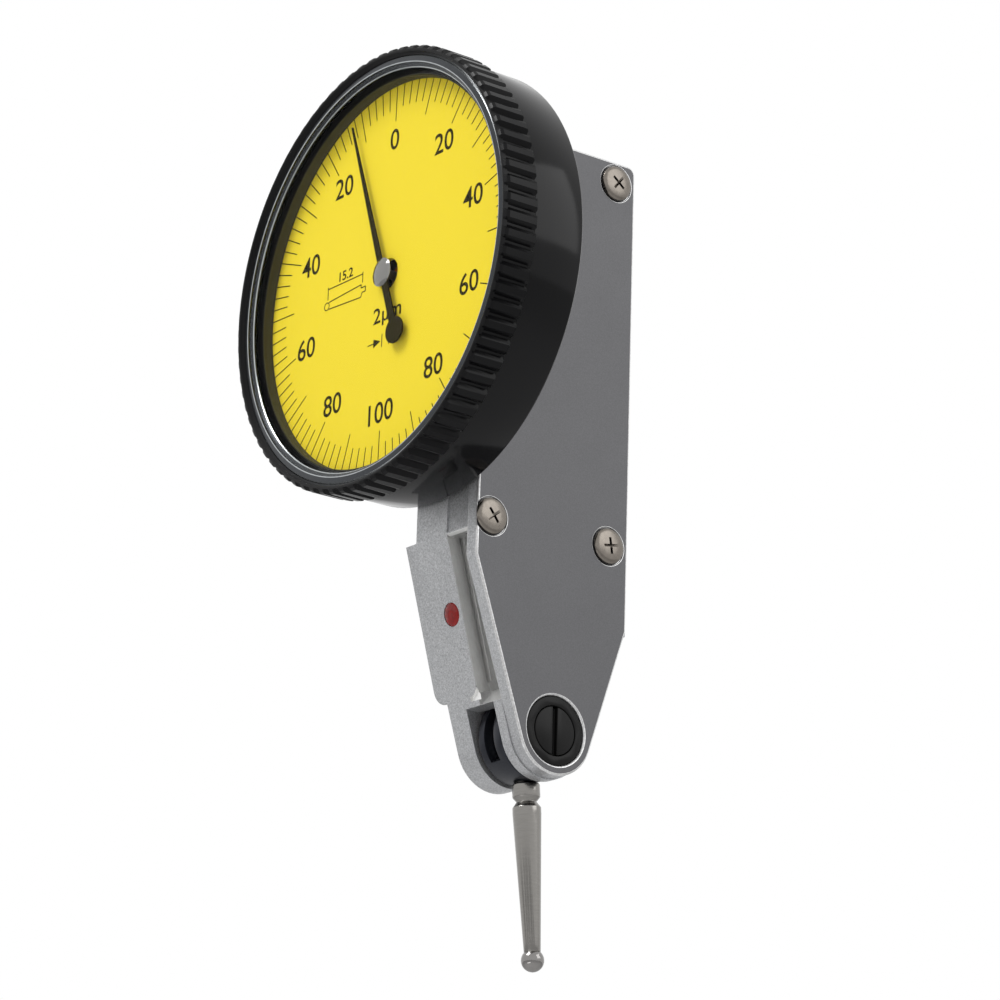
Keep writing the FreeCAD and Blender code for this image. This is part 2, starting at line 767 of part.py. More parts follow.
lever = Solid("lever_arm", x="slot_middle", **pivot)
lever_back = "-lever_thickness / 2"
lever.pad("YZ_Plane", [circle("0", "0", "eye_radius")], "lever_thickness", level=lever_back)
arm = polygon(
    ("-lever_width / 2", "0"),
    ("-lever_width / 2", "limit_place + 1"),
    ("-0.6", "lever_length + 0.7"),
    ("0.6", "lever_length + 0.7"),
    ("lever_width / 2", "limit_place + 1"),
    ("lever_width / 2", "0"),
)
lever.pad("YZ_Plane", [arm], "lever_thickness", level=lever_back)
lever.cut("YZ_Plane", [circle("0", "0", "pin_radius + 0.01")], "4", level="-2")
lever.pad("YZ_Plane", [circle("0", "lever_length", "drive_pin")], "2.1", level="0")


def keep_rods(name, rods, **where):
    """Group rods into one piece, so that their own places are kept inside it."""
    return keep(join("Compound", name + "_group", rods), name, **where)


keep_rods("pivot_pin", [rod("pivot_pin_rod", "pin_radius", "4.9", x="-1.25")], **pivot)

sector = Solid("sector_gear", y="pivot_y", z="sector_z", turn="mesh_angle")
thickness = "sector_thickness"
sector.pad("YZ_Plane", [circle("0", "0", "1.7")], thickness, level="sector_level")
blade = polygon(
    at("1.2", "-90"),
    at("sector_radius - 1.6", "-sector_span / 2 + 1"),
    at("sector_radius + gear_module * 0.85", "-sector_span / 2"),
    at("(sector_radius + gear_module * 0.85) / cos(sector_span / 4)", "-sector_span / 4"),
    at("sector_radius + gear_module * 0.85", "0"),
    at("(sector_radius + gear_module * 0.85) / cos(sector_span / 4)", "sector_span / 4"),
    at("sector_radius + gear_module * 0.85", "sector_span / 2"),
    at("sector_radius - 1.6", "sector_span / 2 - 1"),
    at("1.2", "90"),
)
sector.pad("YZ_Plane", [blade], thickness, level="sector_level")
sector.cut("YZ_Plane", [polygon(
    at("3.4", "-12"),
    at("sector_radius - 2.4", "-sector_span / 4"),
    at("sector_radius - 2.4", "sector_span / 4"),
    at("3.4", "12"),
)], thickness, level="sector_level")
gap_low = "sector_radius - gear_module * 1.1"
gap_high = "sector_radius + gear_module * 1.4"
first_gap = "floor(sector_span * sector_teeth / 720) * 360 / sector_teeth"
tooth_gap = polygon(
    at(gap_low, f"{first_gap} - 360 / sector_teeth * 0.16"),
    at(gap_high, f"{first_gap} - 360 / sector_teeth * 0.36"),
    at(gap_high, f"{first_gap} + 360 / sector_teeth * 0.36"),
    at(gap_low, f"{first_gap} + 360 / sector_teeth * 0.16"),
)
sector_gap = sector.cut("YZ_Plane", [tooth_gap], thickness, level="sector_level")
half_gaps = "floor(sector_span * sector_teeth / 720)"
sector.repeat(sector_gap, "X_Axis", f"2 * {half_gaps} + 1", span=f"2 * {half_gaps} * 360 / sector_teeth")
sector.pad("YZ_Plane", [polygon(
    at("1.9", "180 + mesh_angle - 60"),
    at("crank_radius + 0.95", "180 + mesh_angle - 16"),
    at("crank_radius + 0.95", "180 + mesh_angle + 16"),
    at("1.9", "180 + mesh_angle + 60"),
)], thickness, level="sector_level")
sector.cut("YZ_Plane", [polygon(
    at("crank_radius - 0.6", "180 + mesh_angle - 13.1"),
    at("crank_radius + 1.4", "180 + mesh_angle - 6.5"),
    at("crank_radius + 1.4", "180 + mesh_angle + 6.5"),
    at("crank_radius - 0.6", "180 + mesh_angle + 13.1"),
)], thickness, level="sector_level")
sector.pad("YZ_Plane", [circle("0", "0", "arbor_radius")], "6.5", level="cavity_floor - 0.75")

crown = Solid("crown_wheel", y="crown_y", turn="mesh_angle")
crown.pad("YZ_Plane", [circle("0", "0", "crown_radius + 0.3")], "crown_thickness", level="crown_face")
windows = circle("0", "crown_radius * 0.55", "crown_radius * 0.24")
window = crown.cut("YZ_Plane", [windows], "crown_thickness + 1", level="crown_face - 0.5")
crown.repeat(window, "X_Axis", "5")
tooth_turn = "-90 + mesh_angle + 180 / crown_teeth"
tooth_half = "90 / crown_teeth * 0.92"
crown_tooth = polygon(
    at("crown_radius - 0.3", f"{tooth_turn} - {tooth_half}"),
    at("crown_radius + 0.28", f"{tooth_turn} - {tooth_half}"),
    at("crown_radius + 0.28", f"{tooth_turn} + {tooth_half}"),
    at("crown_radius - 0.3", f"{tooth_turn} + {tooth_half}"),
)
tooth = crown.pad("YZ_Plane", [crown_tooth], "0.36", level="crown_face - 0.36")
crown.repeat(tooth, "X_Axis", "crown_teeth")
crown.pad("YZ_Plane", [circle("0", "0", "arbor_radius")], "6.5", level="cavity_floor - 0.75")
crown.pad("YZ_Plane", [circle("0", "0", "arbor_pinion - gear_module * 1.15")], "1.2", level="sector_level - 0.25")
leaf = polygon(
    ("-gear_module * 0.78", "arbor_pinion - gear_module * 1.5"),
    ("-gear_module * 0.42", "arbor_pinion + gear_module * 0.85"),
    ("gear_module * 0.42", "arbor_pinion + gear_module * 0.85"),
    ("gear_module * 0.78", "arbor_pinion - gear_module * 1.5"),
)
leaves = crown.pad("YZ_Plane", [leaf], "1.2", level="sector_level - 0.25")
crown.repeat(leaves, "X_Axis", "arbor_pinion_teeth")

spindle = Solid("pointer_spindle")
spindle.turn([polygon(
    ("0", "pointer_front"),
    ("spindle_radius", "pointer_front"),
    ("spindle_radius", "pinion_front"),
    ("pinion_radius - crown_pitch * 0.32", "pinion_front"),
    ("pinion_radius - crown_pitch * 0.32", "pinion_front + pinion_length"),
    ("spindle_radius", "pinion_front + pinion_length"),
    ("spindle_radius", "spindle_end"),
    ("0", "spindle_end"),
)])
pinion_leaf = polygon(
    ("pinion_radius - crown_pitch * 0.4", "-crown_pitch * 0.22"),
    ("pinion_radius + crown_pitch * 0.24", "-crown_pitch * 0.13"),
    ("pinion_radius + crown_pitch * 0.24", "crown_pitch * 0.13"),
    ("pinion_radius - crown_pitch * 0.4", "crown_pitch * 0.22"),
)
pinion_tooth = spindle.pad("XZ_Plane", [pinion_leaf], "pinion_length", level="-pinion_front - pinion_length")
spindle.repeat(pinion_tooth, "Y_Axis", "pinion_teeth")


# ---- bearings of the movement ----------------------------------------------------------------

bushes = [
    tube("crown_left_bush", "0.88", "arbor_radius + 0.03", "0.8", x="cavity_floor - 0.8", y="crown_y"),
    tube("sector_left_bush", "0.88", "arbor_radius + 0.03", "0.8", x="cavity_floor - 0.8", y="pivot_y", z="sector_z"),
    tube("spindle_bush", "case_hole - 0.02", "spindle_radius + running_gap", "1.6", y="case_floor + 0.1", axis="Y"),
]
keep_rods("movement_bushes", bushes)

post = Solid("spindle_post")
post.pad("XZ_Plane", [box("cavity_floor", "0.85", "-1.3", "1.3")], "0.7", level="-spindle_end + 0.05")
post.cut("XZ_Plane", [circle("0", "0", "spindle_radius + running_gap")], "2", level="-spindle_end - 0.5")

bridge = Solid("movement_bridge")
bridge.pad("YZ_Plane", [polygon(
    ("crown_y - 2.6", "7.2"),
    ("crown_y + 2.6", "7.2"),
    ("crown_y + 3.9", "3.5"),
    ("pivot_y + 3.4", "sector_z - 2.2"),
    ("pivot_y + 1.6", "sector_z - 5.4"),
    ("pivot_y - 1.6", "sector_z - 5.4"),
    ("pivot_y - 4.6", "sector_z - 2.2"),
    ("crown_y - 3.9", "3.5"),
)], "bridge_thickness", level="bridge_level")
for y, z in (("crown_y", "0"), ("pivot_y", "sector_z")):
    bridge.cut("YZ_Plane", [circle(y, z, "arbor_radius + 0.03")], "2", level="bridge_level - 0.5")

pillar_spots = (
    ("crown_y", "7.2"),
    ("pivot_y + 2.6", "sector_z - 3.2"),
    ("pivot_y - 3.3", "sector_z - 3.2"),
)
pillars = []
bridge_screws = []
for index, (y, z) in enumerate(pillar_spots, start=1):
    bridge.pad("YZ_Plane", [circle(y, z, "1.25")], "bridge_thickness", level="bridge_level")
    bridge.cut("YZ_Plane", [circle(y, z, "0.42")], "2", level="bridge_level - 0.5")
    pillars.append(rod(f"pillar_{index}", "0.9", "bridge_level - cavity_floor", x="cavity_floor", y=y, z=z))
    bridge_screws.append(rod(f"bridge_screw_{index}", "0.4", "bridge_thickness", x="bridge_level", y=y, z=z))
keep_rods("bridge_pillars", pillars)
keep_rods("bridge_screws", bridge_screws)

limit_offset = "lever_width / 2 + limit_gap + limit_pin"
stops = []
for index, side in enumerate(("+", "-"), start=1):
    y = f"pivot_y {side} ({limit_offset})"
    z = "pivot_z + limit_place"
    stops.append(rod(f"limit_pin_{index}", "limit_pin", "slot_middle + 0.8 - cavity_floor", x="cavity_floor", y=y, z=z))
keep_rods("limit_pins", stops)

leaf_spring = Solid("lever_spring")
leaf_spring.pad("YZ_Plane", [polygon(
    ("pivot_y + 3.1", "-30.5"),
    ("pivot_y + 3.35", "-30.5"),
    ("pivot_y + 2.1", "-21.4"),
    ("pivot_y + 1.35", "-21.4"),
    ("pivot_y + 1.35", "-21.7"),
    ("pivot_y + 1.85", "-21.7"),
)], "0.9", level="slot_middle - 0.45")
leaf_spring.pad("YZ_Plane", [circle("pivot_y + 3.2", "-30.6", "0.5")], "slot_middle + 0.6 - cavity_floor", level="cavity_floor")


# ---- pointer, its cap and the hairspring -----------------------------------------------------

pointer = Solid("pointer", turn="pointer_rest", axis=(0, 1, 0))
needle = polygon(
    ("-0.42", "-pointer_tail"),
    ("-0.36", "0"),
    ("-0.07", "pointer_reach"),
    ("0.07", "pointer_reach"),
    ("0.36", "0"),
    ("0.42", "-pointer_tail"),
)
pointer.pad("XZ_Plane", [needle], "pointer_thickness", level="-pointer_front - pointer_thickness")
tail_disc = circle("0", "-pointer_tail - tail_radius", "tail_radius + 0.05")
pointer.pad("XZ_Plane", [tail_disc], "pointer_thickness", level="-pointer_front - pointer_thickness")
pointer.pad("XZ_Plane", [circle("0", "0", "0.95")], "pointer_thickness", level="-pointer_front - pointer_thickness")
pointer.cut("XZ_Plane", [circle("0", "0", "spindle_radius + 0.01")], "2", level="-pointer_front - 1")

cap = Solid("pointer_cap")
cap.turn([polygon(
    ("0", "cap_front"),
    ("cap_radius - 0.16", "cap_front"),
    ("cap_radius", "cap_front + 0.12"),
    ("cap_radius", "pointer_front"),
    ("0", "pointer_front"),
)])

collet = Solid("hairspring_collet")
collet.turn([polygon(
    ("spindle_radius + 0.01", "coil_front - 0.1"),
    ("0.95", "coil_front - 0.1"),
    ("0.95", "coil_front + coil_height + 0.1"),
    ("spindle_radius + 0.01", "coil_front + coil_height + 0.1"),
)])


def coil(name):
    """A flat spiral spring of square wire, as a swept solid."""
    pitch = number("coil_pitch")
    turns = int(number("coil_count"))
    thickness = 0.09
    start = number("0.95 + 0.05")
    steps = 12 * turns
    inner = []
    outer = []
    for step in range(steps + 1):
        angle = 30.0 * step
        radius = start + pitch * step / 12
        direction = FreeCAD.Rotation(FreeCAD.Vector(0, 1, 0), angle).multVec(FreeCAD.Vector(0, 0, 1))
        inner.append(direction * radius)
        outer.append(direction * (radius + thickness))
    curve_in = Part.BSplineCurve()
    curve_in.interpolate(inner)
    curve_out = Part.BSplineCurve()
    curve_out.interpolate(outer)
    ends = [Part.makeLine(inner[0], outer[0]), Part.makeLine(inner[-1], outer[-1])]
    wire = Part.Wire(Part.sortEdges([curve_in.toShape(), curve_out.toShape()] + ends)[0])
    solid = Part.Face(wire).extrude(FreeCAD.Vector(0, number("coil_height"), 0))
    obj = doc.addObject("Part::Feature", name + "_shape")
    obj.Shape = solid
    return obj


keep(coil("hairspring"), "hairspring", y="coil_front")

stud = Solid("hairspring_stud")
stud_place = "0.95 + 0.05 + coil_pitch * coil_count"
stud.pad("XZ_Plane", [box("-0.5", "0.5", f"{stud_place} + 0.12", f"{stud_place} + 1.1")], "case_floor - coil_front + 0.1", level="-case_floor")

# ---- check and write --------------------------------------------------------------------------

doc.recompute()
failed = [obj.Name for obj in doc.Objects if "Invalid" in obj.State or "Error" in obj.State]
if failed:
    raise RuntimeError(f"these objects failed: {failed}")
for piece in PIECES:
    if piece.Shape.isNull() or not piece.Shape.isValid():
        raise RuntimeError(f"{piece.Label} has no valid shape")
for piece in PIECES:
    piece.Shape.exportStep(f"parts/{piece.Label}.step")
    size = piece.Shape.BoundBox
    spans = f"X {size.XMin:.2f}..{size.XMax:.2f} Y {size.YMin:.2f}..{size.YMax:.2f} Z {size.ZMin:.2f}..{size.ZMax:.2f}"
    print(f"{piece.Label}: {len(piece.Shape.Solids)} solids, {piece.Shape.Volume:.2f} mm3, {spans}")
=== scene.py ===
"""Dial test indicator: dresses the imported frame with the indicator's own surfaces and finishes."""

import json
import logging
import math
from dataclasses import dataclass
from enum import Enum
from typing import Callable, Optional, Sequence

import bpy
from mathutils import Matrix, Vector

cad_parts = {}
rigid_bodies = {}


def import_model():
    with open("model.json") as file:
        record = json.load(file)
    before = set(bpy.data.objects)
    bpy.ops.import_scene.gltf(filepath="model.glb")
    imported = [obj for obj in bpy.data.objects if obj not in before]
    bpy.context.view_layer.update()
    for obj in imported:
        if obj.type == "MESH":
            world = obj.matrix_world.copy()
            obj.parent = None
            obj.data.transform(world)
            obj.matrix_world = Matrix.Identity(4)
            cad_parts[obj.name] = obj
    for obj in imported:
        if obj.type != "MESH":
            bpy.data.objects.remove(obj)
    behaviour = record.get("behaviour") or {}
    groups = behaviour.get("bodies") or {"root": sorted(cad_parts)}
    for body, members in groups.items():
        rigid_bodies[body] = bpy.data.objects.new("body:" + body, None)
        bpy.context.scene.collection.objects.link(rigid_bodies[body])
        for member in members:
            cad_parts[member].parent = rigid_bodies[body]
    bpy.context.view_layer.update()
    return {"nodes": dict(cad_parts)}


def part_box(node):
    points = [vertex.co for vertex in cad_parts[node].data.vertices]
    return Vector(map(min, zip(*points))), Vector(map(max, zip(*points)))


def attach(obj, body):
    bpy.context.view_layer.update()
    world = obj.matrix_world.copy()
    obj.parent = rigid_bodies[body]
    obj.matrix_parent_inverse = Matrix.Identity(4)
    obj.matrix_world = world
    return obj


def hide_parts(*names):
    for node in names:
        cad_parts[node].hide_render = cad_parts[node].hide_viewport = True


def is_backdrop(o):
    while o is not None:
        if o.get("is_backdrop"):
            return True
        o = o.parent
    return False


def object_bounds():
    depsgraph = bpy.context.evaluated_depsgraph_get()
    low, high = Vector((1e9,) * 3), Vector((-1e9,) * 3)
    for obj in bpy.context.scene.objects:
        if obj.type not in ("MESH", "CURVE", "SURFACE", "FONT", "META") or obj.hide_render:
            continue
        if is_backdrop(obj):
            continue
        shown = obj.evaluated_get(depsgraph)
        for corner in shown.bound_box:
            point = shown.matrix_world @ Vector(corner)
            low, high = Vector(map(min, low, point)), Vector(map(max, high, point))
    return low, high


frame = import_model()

MM = 0.001
FULL_TURN = 2 * math.pi
log = logging.getLogger("indicator")

Pair = tuple[float, float]
Colour = tuple[float, float, float]
Test = Callable[[Vector], bool]


def mm(*values: float) -> Vector:
    """Return a place given in millimetres as a vector in metres."""
    return Vector(values) * MM


# ---- shader writing -------------------------------------------------------------------------


class Signal:
    """One output of a shader node, which sums can be written with."""

    def __init__(self, graph: "Graph", socket: bpy.types.NodeSocket) -> None:
        """Keep the socket and the graph that it belongs to."""
        self.graph = graph
        self.socket = socket

    def maths(self, operation: str, *others: "Signal | float") -> "Signal":
        """Add a Math node.

        Args:
            operation: the node's operation.
            others: what follows this signal in the sum.

        Returns:
            The result.
        """
        values = {index: other for index, other in enumerate((self, *others))}
        return self.graph.signal("ShaderNodeMath", values, operation=operation)

    def __add__(self, other: "Signal | float") -> "Signal":
        """Return self + other."""
        return self.maths("ADD", other)

    __radd__ = __add__

    def __sub__(self, other: "Signal | float") -> "Signal":
        """Return self - other."""
        return self.maths("SUBTRACT", other)

    def __rsub__(self, other: float) -> "Signal":
        """Return other - self."""
        return self.maths("MULTIPLY", -1.0) + other

    def __mul__(self, other: "Signal | float") -> "Signal":
        """Return self * other."""
        return self.maths("MULTIPLY", other)

    __rmul__ = __mul__

    def __truediv__(self, other: float) -> "Signal":
        """Return self / other."""
        return self.maths("DIVIDE", other)

    def __gt__(self, other: float) -> "Signal":
        """Return 1 where self is above other."""
        return self.maths("GREATER_THAN", other)

    def between(self, low: float, high: float) -> "Signal":
        """Return a smooth step from 0 at low to 1 at high."""
        values = {"Value": self, "From Min": low, "From Max": high}
        return self.graph.signal("ShaderNodeMapRange", values, interpolation_type="SMOOTHSTEP")


class Graph:
    """The node tree of one material."""

    def __init__(self, tree: bpy.types.NodeTree) -> None:
        """Empty the tree."""
        self.tree = tree
        self.tree.nodes.clear()

    def node(self, kind: str, values: Optional[dict] = None, **settings: object) -> bpy.types.Node:
        """Add a node.

        Args:
            kind: the node's type.
            values: a number, colour or signal for each input, by name or place.
            settings: the node's own settings, set before its inputs.

        Returns:
            The node.
        """
        node = self.tree.nodes.new(kind)
        for name, setting in settings.items():
            if name == "stops":
                for index, (place, colour) in enumerate(setting):
                    stop = node.color_ramp.elements[index] if index < 2 else node.color_ramp.elements.new(place)
                    stop.position, stop.color = place, (*colour, 1.0)
            else:
                setattr(node, name, setting)
        for name, value in (values or {}).items():
            if isinstance(value, Signal):
                self.tree.links.new(value.socket, node.inputs[name])
            elif isinstance(value, tuple) and len(value) == 3 and node.inputs[name].type == "RGBA":
                node.inputs[name].default_value = (*value, 1.0)
            else:
                node.inputs[name].default_value = value
        return node

    def signal(self, kind: str, values: Optional[dict] = None, output: int = 0, **settings: object) -> Signal:
        """Add a node and return one of its outputs."""
        return Signal(self, self.node(kind, values, **settings).outputs[output])

    def place(self, scale: Sequence[float] = (1.0, 1.0, 1.0), centre: Vector = Vector()) -> Signal:
        """Return the point on the piece, measured from a centre and stretched."""
        point = self.signal("ShaderNodeTexCoord", output=3)
        values = {"Vector": point, "Scale": scale, "Location": [-c * s for c, s in zip(centre, scale)]}
        return self.signal("ShaderNodeMapping", values)

    def noise(self, size: float, detail: float = 2.0, **where: object) -> Signal:
        """Return noise from 0 to 1 whose lumps are about size millimetres."""
        values = {"Vector": self.place(**where), "Scale": 1.0 / (size * MM), "Detail": detail}
        return self.signal("ShaderNodeTexNoise", values)

    def mix(self, factor: "Signal | float", first: "Signal | Colour", second: "Signal | Colour") -> Signal:
        """Return a colour between two."""
        values = {0: factor, 6: first, 7: second}
        return self.signal("ShaderNodeMix", values, output=2, data_type="RGBA")

    def bump(self, height: Signal, depth: float, normal: Optional[Signal] = None) -> Signal:
        """Return a normal bent by a height whose full step is depth millimetres."""
        values = {"Height": height, "Distance": depth * MM, "Strength": 1.0}
        if normal:
            values["Normal"] = normal
        return self.signal("ShaderNodeBump", values)

    def finish(self, surface: bpy.types.Node) -> None:
        """Send a shader to the output."""
        output = self.tree.nodes.new("ShaderNodeOutputMaterial")
        self.tree.links.new(surface.outputs[0], output.inputs[0])


# ---- finishes -------------------------------------------------------------------------------


@dataclass(frozen=True)
class Finish:
    """A metal, plastic or paint with a fine grain and slow clouds.

    Attributes:
        name: the material's name.
        colour: base colour.
        metallic: 1 for bare metal.
        roughness: middle roughness.
        grain: size of the surface grain in mm.
        relief: height of the grain in mm.
        speckle: how much the grain lightens and darkens the colour.
        cloud: how much the roughness drifts over some millimetres.
        specular: level of the mirror part on plastics.
        coat: weight of a clear coat.
        stretch: how the grain is drawn out along x, y and z.
    """

    name: str
    colour: Colour
    metallic: float = 0.0
    roughness: float = 0.4
    grain: float = 0.15
    relief: float = 0.0
    speckle: float = 0.0
    cloud: float = 0.06
    specular: float = 0.5
    coat: float = 0.0
    stretch: Colour = (1.0, 1.0, 1.0)

    def shade(self, graph: Graph) -> dict:
        """Return what the shader's inputs get.

        Args:
            graph: the material's nodes.

        Returns:
            A value or signal for each input by name.
        """
        grain = graph.noise(self.grain, 3.0, scale=self.stretch)
        cloud = graph.noise(4.0, 2.0)
        dark = tuple(c * (1.0 - self.speckle) for c in self.colour)
        light = tuple(min(1.0, c * (1.0 + self.speckle)) for c in self.colour)
        rough = self.roughness + (cloud - 0.5) * self.cloud + (grain - 0.5) * (self.cloud * 0.8)
        values = {
            "Base Color": graph.mix(grain.between(0.25, 0.75), dark, light),
            "Roughness": rough,
            "Metallic": self.metallic,
            "Specular IOR Level": self.specular,
            "Coat Weight": self.coat,
            "Coat Roughness": 0.08,
        }
        if self.relief:
            values["Normal"] = graph.bump(grain, self.relief)
        return values

    def material(self) -> bpy.types.Material:
        """Return the finish as a material, made once."""
        if self.name not in bpy.data.materials:
            material = bpy.data.materials.new(self.name)
            material.use_nodes = True
            graph = Graph(material.node_tree)
            graph.finish(graph.node("ShaderNodeBsdfPrincipled", self.shade(graph)))
        return bpy.data.materials[self.name]


@dataclass(frozen=True)
class Blasted(Finish):
    """Cast metal, bead blasted: a matt ground full of tiny facets, whose sparkle is painted into the colour."""

    # How strongly the painted sparkle lightens the colour of single grains.
    glints: float = 0.5

    def shade(self, graph: Graph) -> dict:
        """Add painted sparkle, single grains lightened in colour, to the plain finish."""
        values = super().shade(graph)
        # Painted highlight: random cells of the grain get a lighter colour and a lower roughness, standing in for light
        # caught by the facets.
        cells = graph.signal(
            "ShaderNodeTexVoronoi",
            {"Vector": graph.place(), "Scale": 1.0 / (self.grain * MM)},
            output=1,
        )
        pick = graph.signal("ShaderNodeSeparateColor", {"Color": cells})
        painted_glint = pick.between(0.72, 0.95)
        painted_glint_colour = tuple(min(1.0, c * 1.35) for c in self.colour)
        values["Base Color"] = graph.mix(painted_glint * self.glints, values["Base Color"], painted_glint_colour)
        values["Roughness"] = values["Roughness"] - painted_glint * 0.12
        return values


@dataclass(frozen=True)
class Crystal(Finish):
    """Clear plastic: the ground shows through and the face mirrors a little."""

    def material(self) -> bpy.types.Material:
        """Return the clear material, made once."""
        if self.name not in bpy.data.materials:
            material = bpy.data.materials.new(self.name)
            material.use_nodes = True
            graph = Graph(material.node_tree)
            clear = graph.node("ShaderNodeBsdfTransparent", {"Color": self.colour})
            mirror = graph.node("ShaderNodeBsdfPrincipled", {"Metallic": 1.0, "Roughness": self.roughness})
            facing = graph.signal("ShaderNodeLayerWeight", {"Blend": 0.5}, output=1)
            haze = graph.noise(6.0)
            both = graph.node("ShaderNodeMixShader", {0: facing.maths("POWER", 4.0) * 0.12 + haze * 0.002})
            graph.tree.links.new(clear.outputs[0], both.inputs[1])
            graph.tree.links.new(mirror.outputs[0], both.inputs[2])
            graph.finish(both)
        return bpy.data.materials[self.name]


# The casting's blasted finish, with painted sparkle in its colour.
BLASTED = Blasted(
    "frame_blasted", (0.42, 0.425, 0.435), metallic=0.75, roughness=0.44, grain=0.12, relief=0.018, speckle=0.26,
)
MACHINED = Finish(
    "frame_machined", (0.86, 0.86, 0.85), 0.8, 0.34, grain=0.2, relief=0.002, speckle=0.05, stretch=(3.0, 3.0, 0.3),
)
COVER = Finish("cover_satin", (0.108, 0.108, 0.113), 0.65, 0.42, grain=0.1, relief=0.003, speckle=0.12)
# Painted highlight: a light metal colour on the cover's chamfers and rounded edges, standing in for the light caught
# along them.
PAINTED_EDGE_HIGHLIGHT = Finish("painted_edge_highlight", (0.62, 0.62, 0.62), 0.9, 0.3, grain=0.2, relief=0.002, speckle=0.2)
NICKEL = Finish("nickel", (0.2, 0.18, 0.158), 1.0, 0.24, grain=0.3, relief=0.001, speckle=0.08)
BEZEL = Finish("bezel_black", (0.004, 0.004, 0.0045), 0.0, 0.3, grain=0.12, relief=0.002, specular=0.13)
CASE = Finish("case_black", (0.003, 0.003, 0.0035), 0.0, 0.12, grain=0.6, relief=0.0006, specular=0.2)
WALL = Finish("inner_wall", (0.055, 0.052, 0.028), 0.0, 0.6, grain=0.2, specular=0.1)
RIM = Finish("crystal_rim", (0.036, 0.04, 0.045), 0.7, 0.2, grain=0.5, speckle=0.06)
PAINT = Finish("yellow_paint", (0.92, 0.71, 0.032), 0.0, 0.6, grain=0.3, speckle=0.012, specular=0.1)
INK = Finish("dial_ink", (0.028, 0.022, 0.004), 0.0, 0.6, grain=0.2, speckle=0.1, specular=0.05)
NEEDLE = Finish("needle_paint", (0.026, 0.021, 0.007), 0.0, 0.6, grain=0.2, speckle=0.1, specular=0.02)
POLISHED = Finish("polished_steel", (0.26, 0.252, 0.245), 1.0, 0.1, grain=0.5, speckle=0.04, cloud=0.03)
BRUSHED = Finish(
    "ground_steel", (0.25, 0.241, 0.228), 1.0, 0.2, grain=0.35, relief=0.0012, speckle=0.07, stretch=(0.35, 0.35, 6.0),
)
BLUED = Finish("blued_steel", (0.022, 0.024, 0.031), 0.7, 0.3, grain=0.2, relief=0.001, speckle=0.1)
BLACKED = Finish("blacked_steel", (0.006, 0.006, 0.006), 0.0, 0.3, grain=0.2, relief=0.001, speckle=0.1, specular=0.15)
BRASS = Finish("plain_brass", (0.72, 0.5, 0.2), 1.0, 0.26, grain=0.2, relief=0.001, speckle=0.06)
BRONZE = Finish("spring_bronze", (0.62, 0.38, 0.18), 1.0, 0.3, grain=0.2, speckle=0.06)
WASHER = Finish("washer_bronze", (0.3, 0.2, 0.13), 0.9, 0.4, grain=0.15, speckle=0.15)
STEEL = Finish("plain_steel", (0.45, 0.45, 0.45), 1.0, 0.32, grain=0.2, relief=0.001, speckle=0.06)
ENAMEL = Finish("glossy_red", (0.24, 0.006, 0.005), 0.0, 0.12, grain=0.3, speckle=0.2, specular=0.2, coat=0.25)
# Painted highlight: a light metal colour for the thin rings along the crystal rim's bevels.
PAINTED_RIM_HIGHLIGHT = Finish("painted_rim_highlight", (0.42, 0.44, 0.45), 0.9, 0.18, grain=0.5, speckle=0.1)
CLEAR = Crystal("clear_crystal", (0.985, 0.99, 0.985), roughness=0.03)


# ---- modelling ------------------------------------------------------------------------------


class Axis(Enum):
    """The directions that a round piece can stand along."""

    X = (1.0, 0.0, 0.0)
    Y = (0.0, 1.0, 0.0)
    Z = (0.0, 0.0, 1.0)

    def out(self, radius: float, along: float) -> Vector:
        """Return the place at a radius and a distance along the axis, in millimetres."""
        if self is Axis.Z:
            return mm(radius, 0.0, along)
        return Vector(self.value) * along * MM + mm(0.0, 0.0, radius)


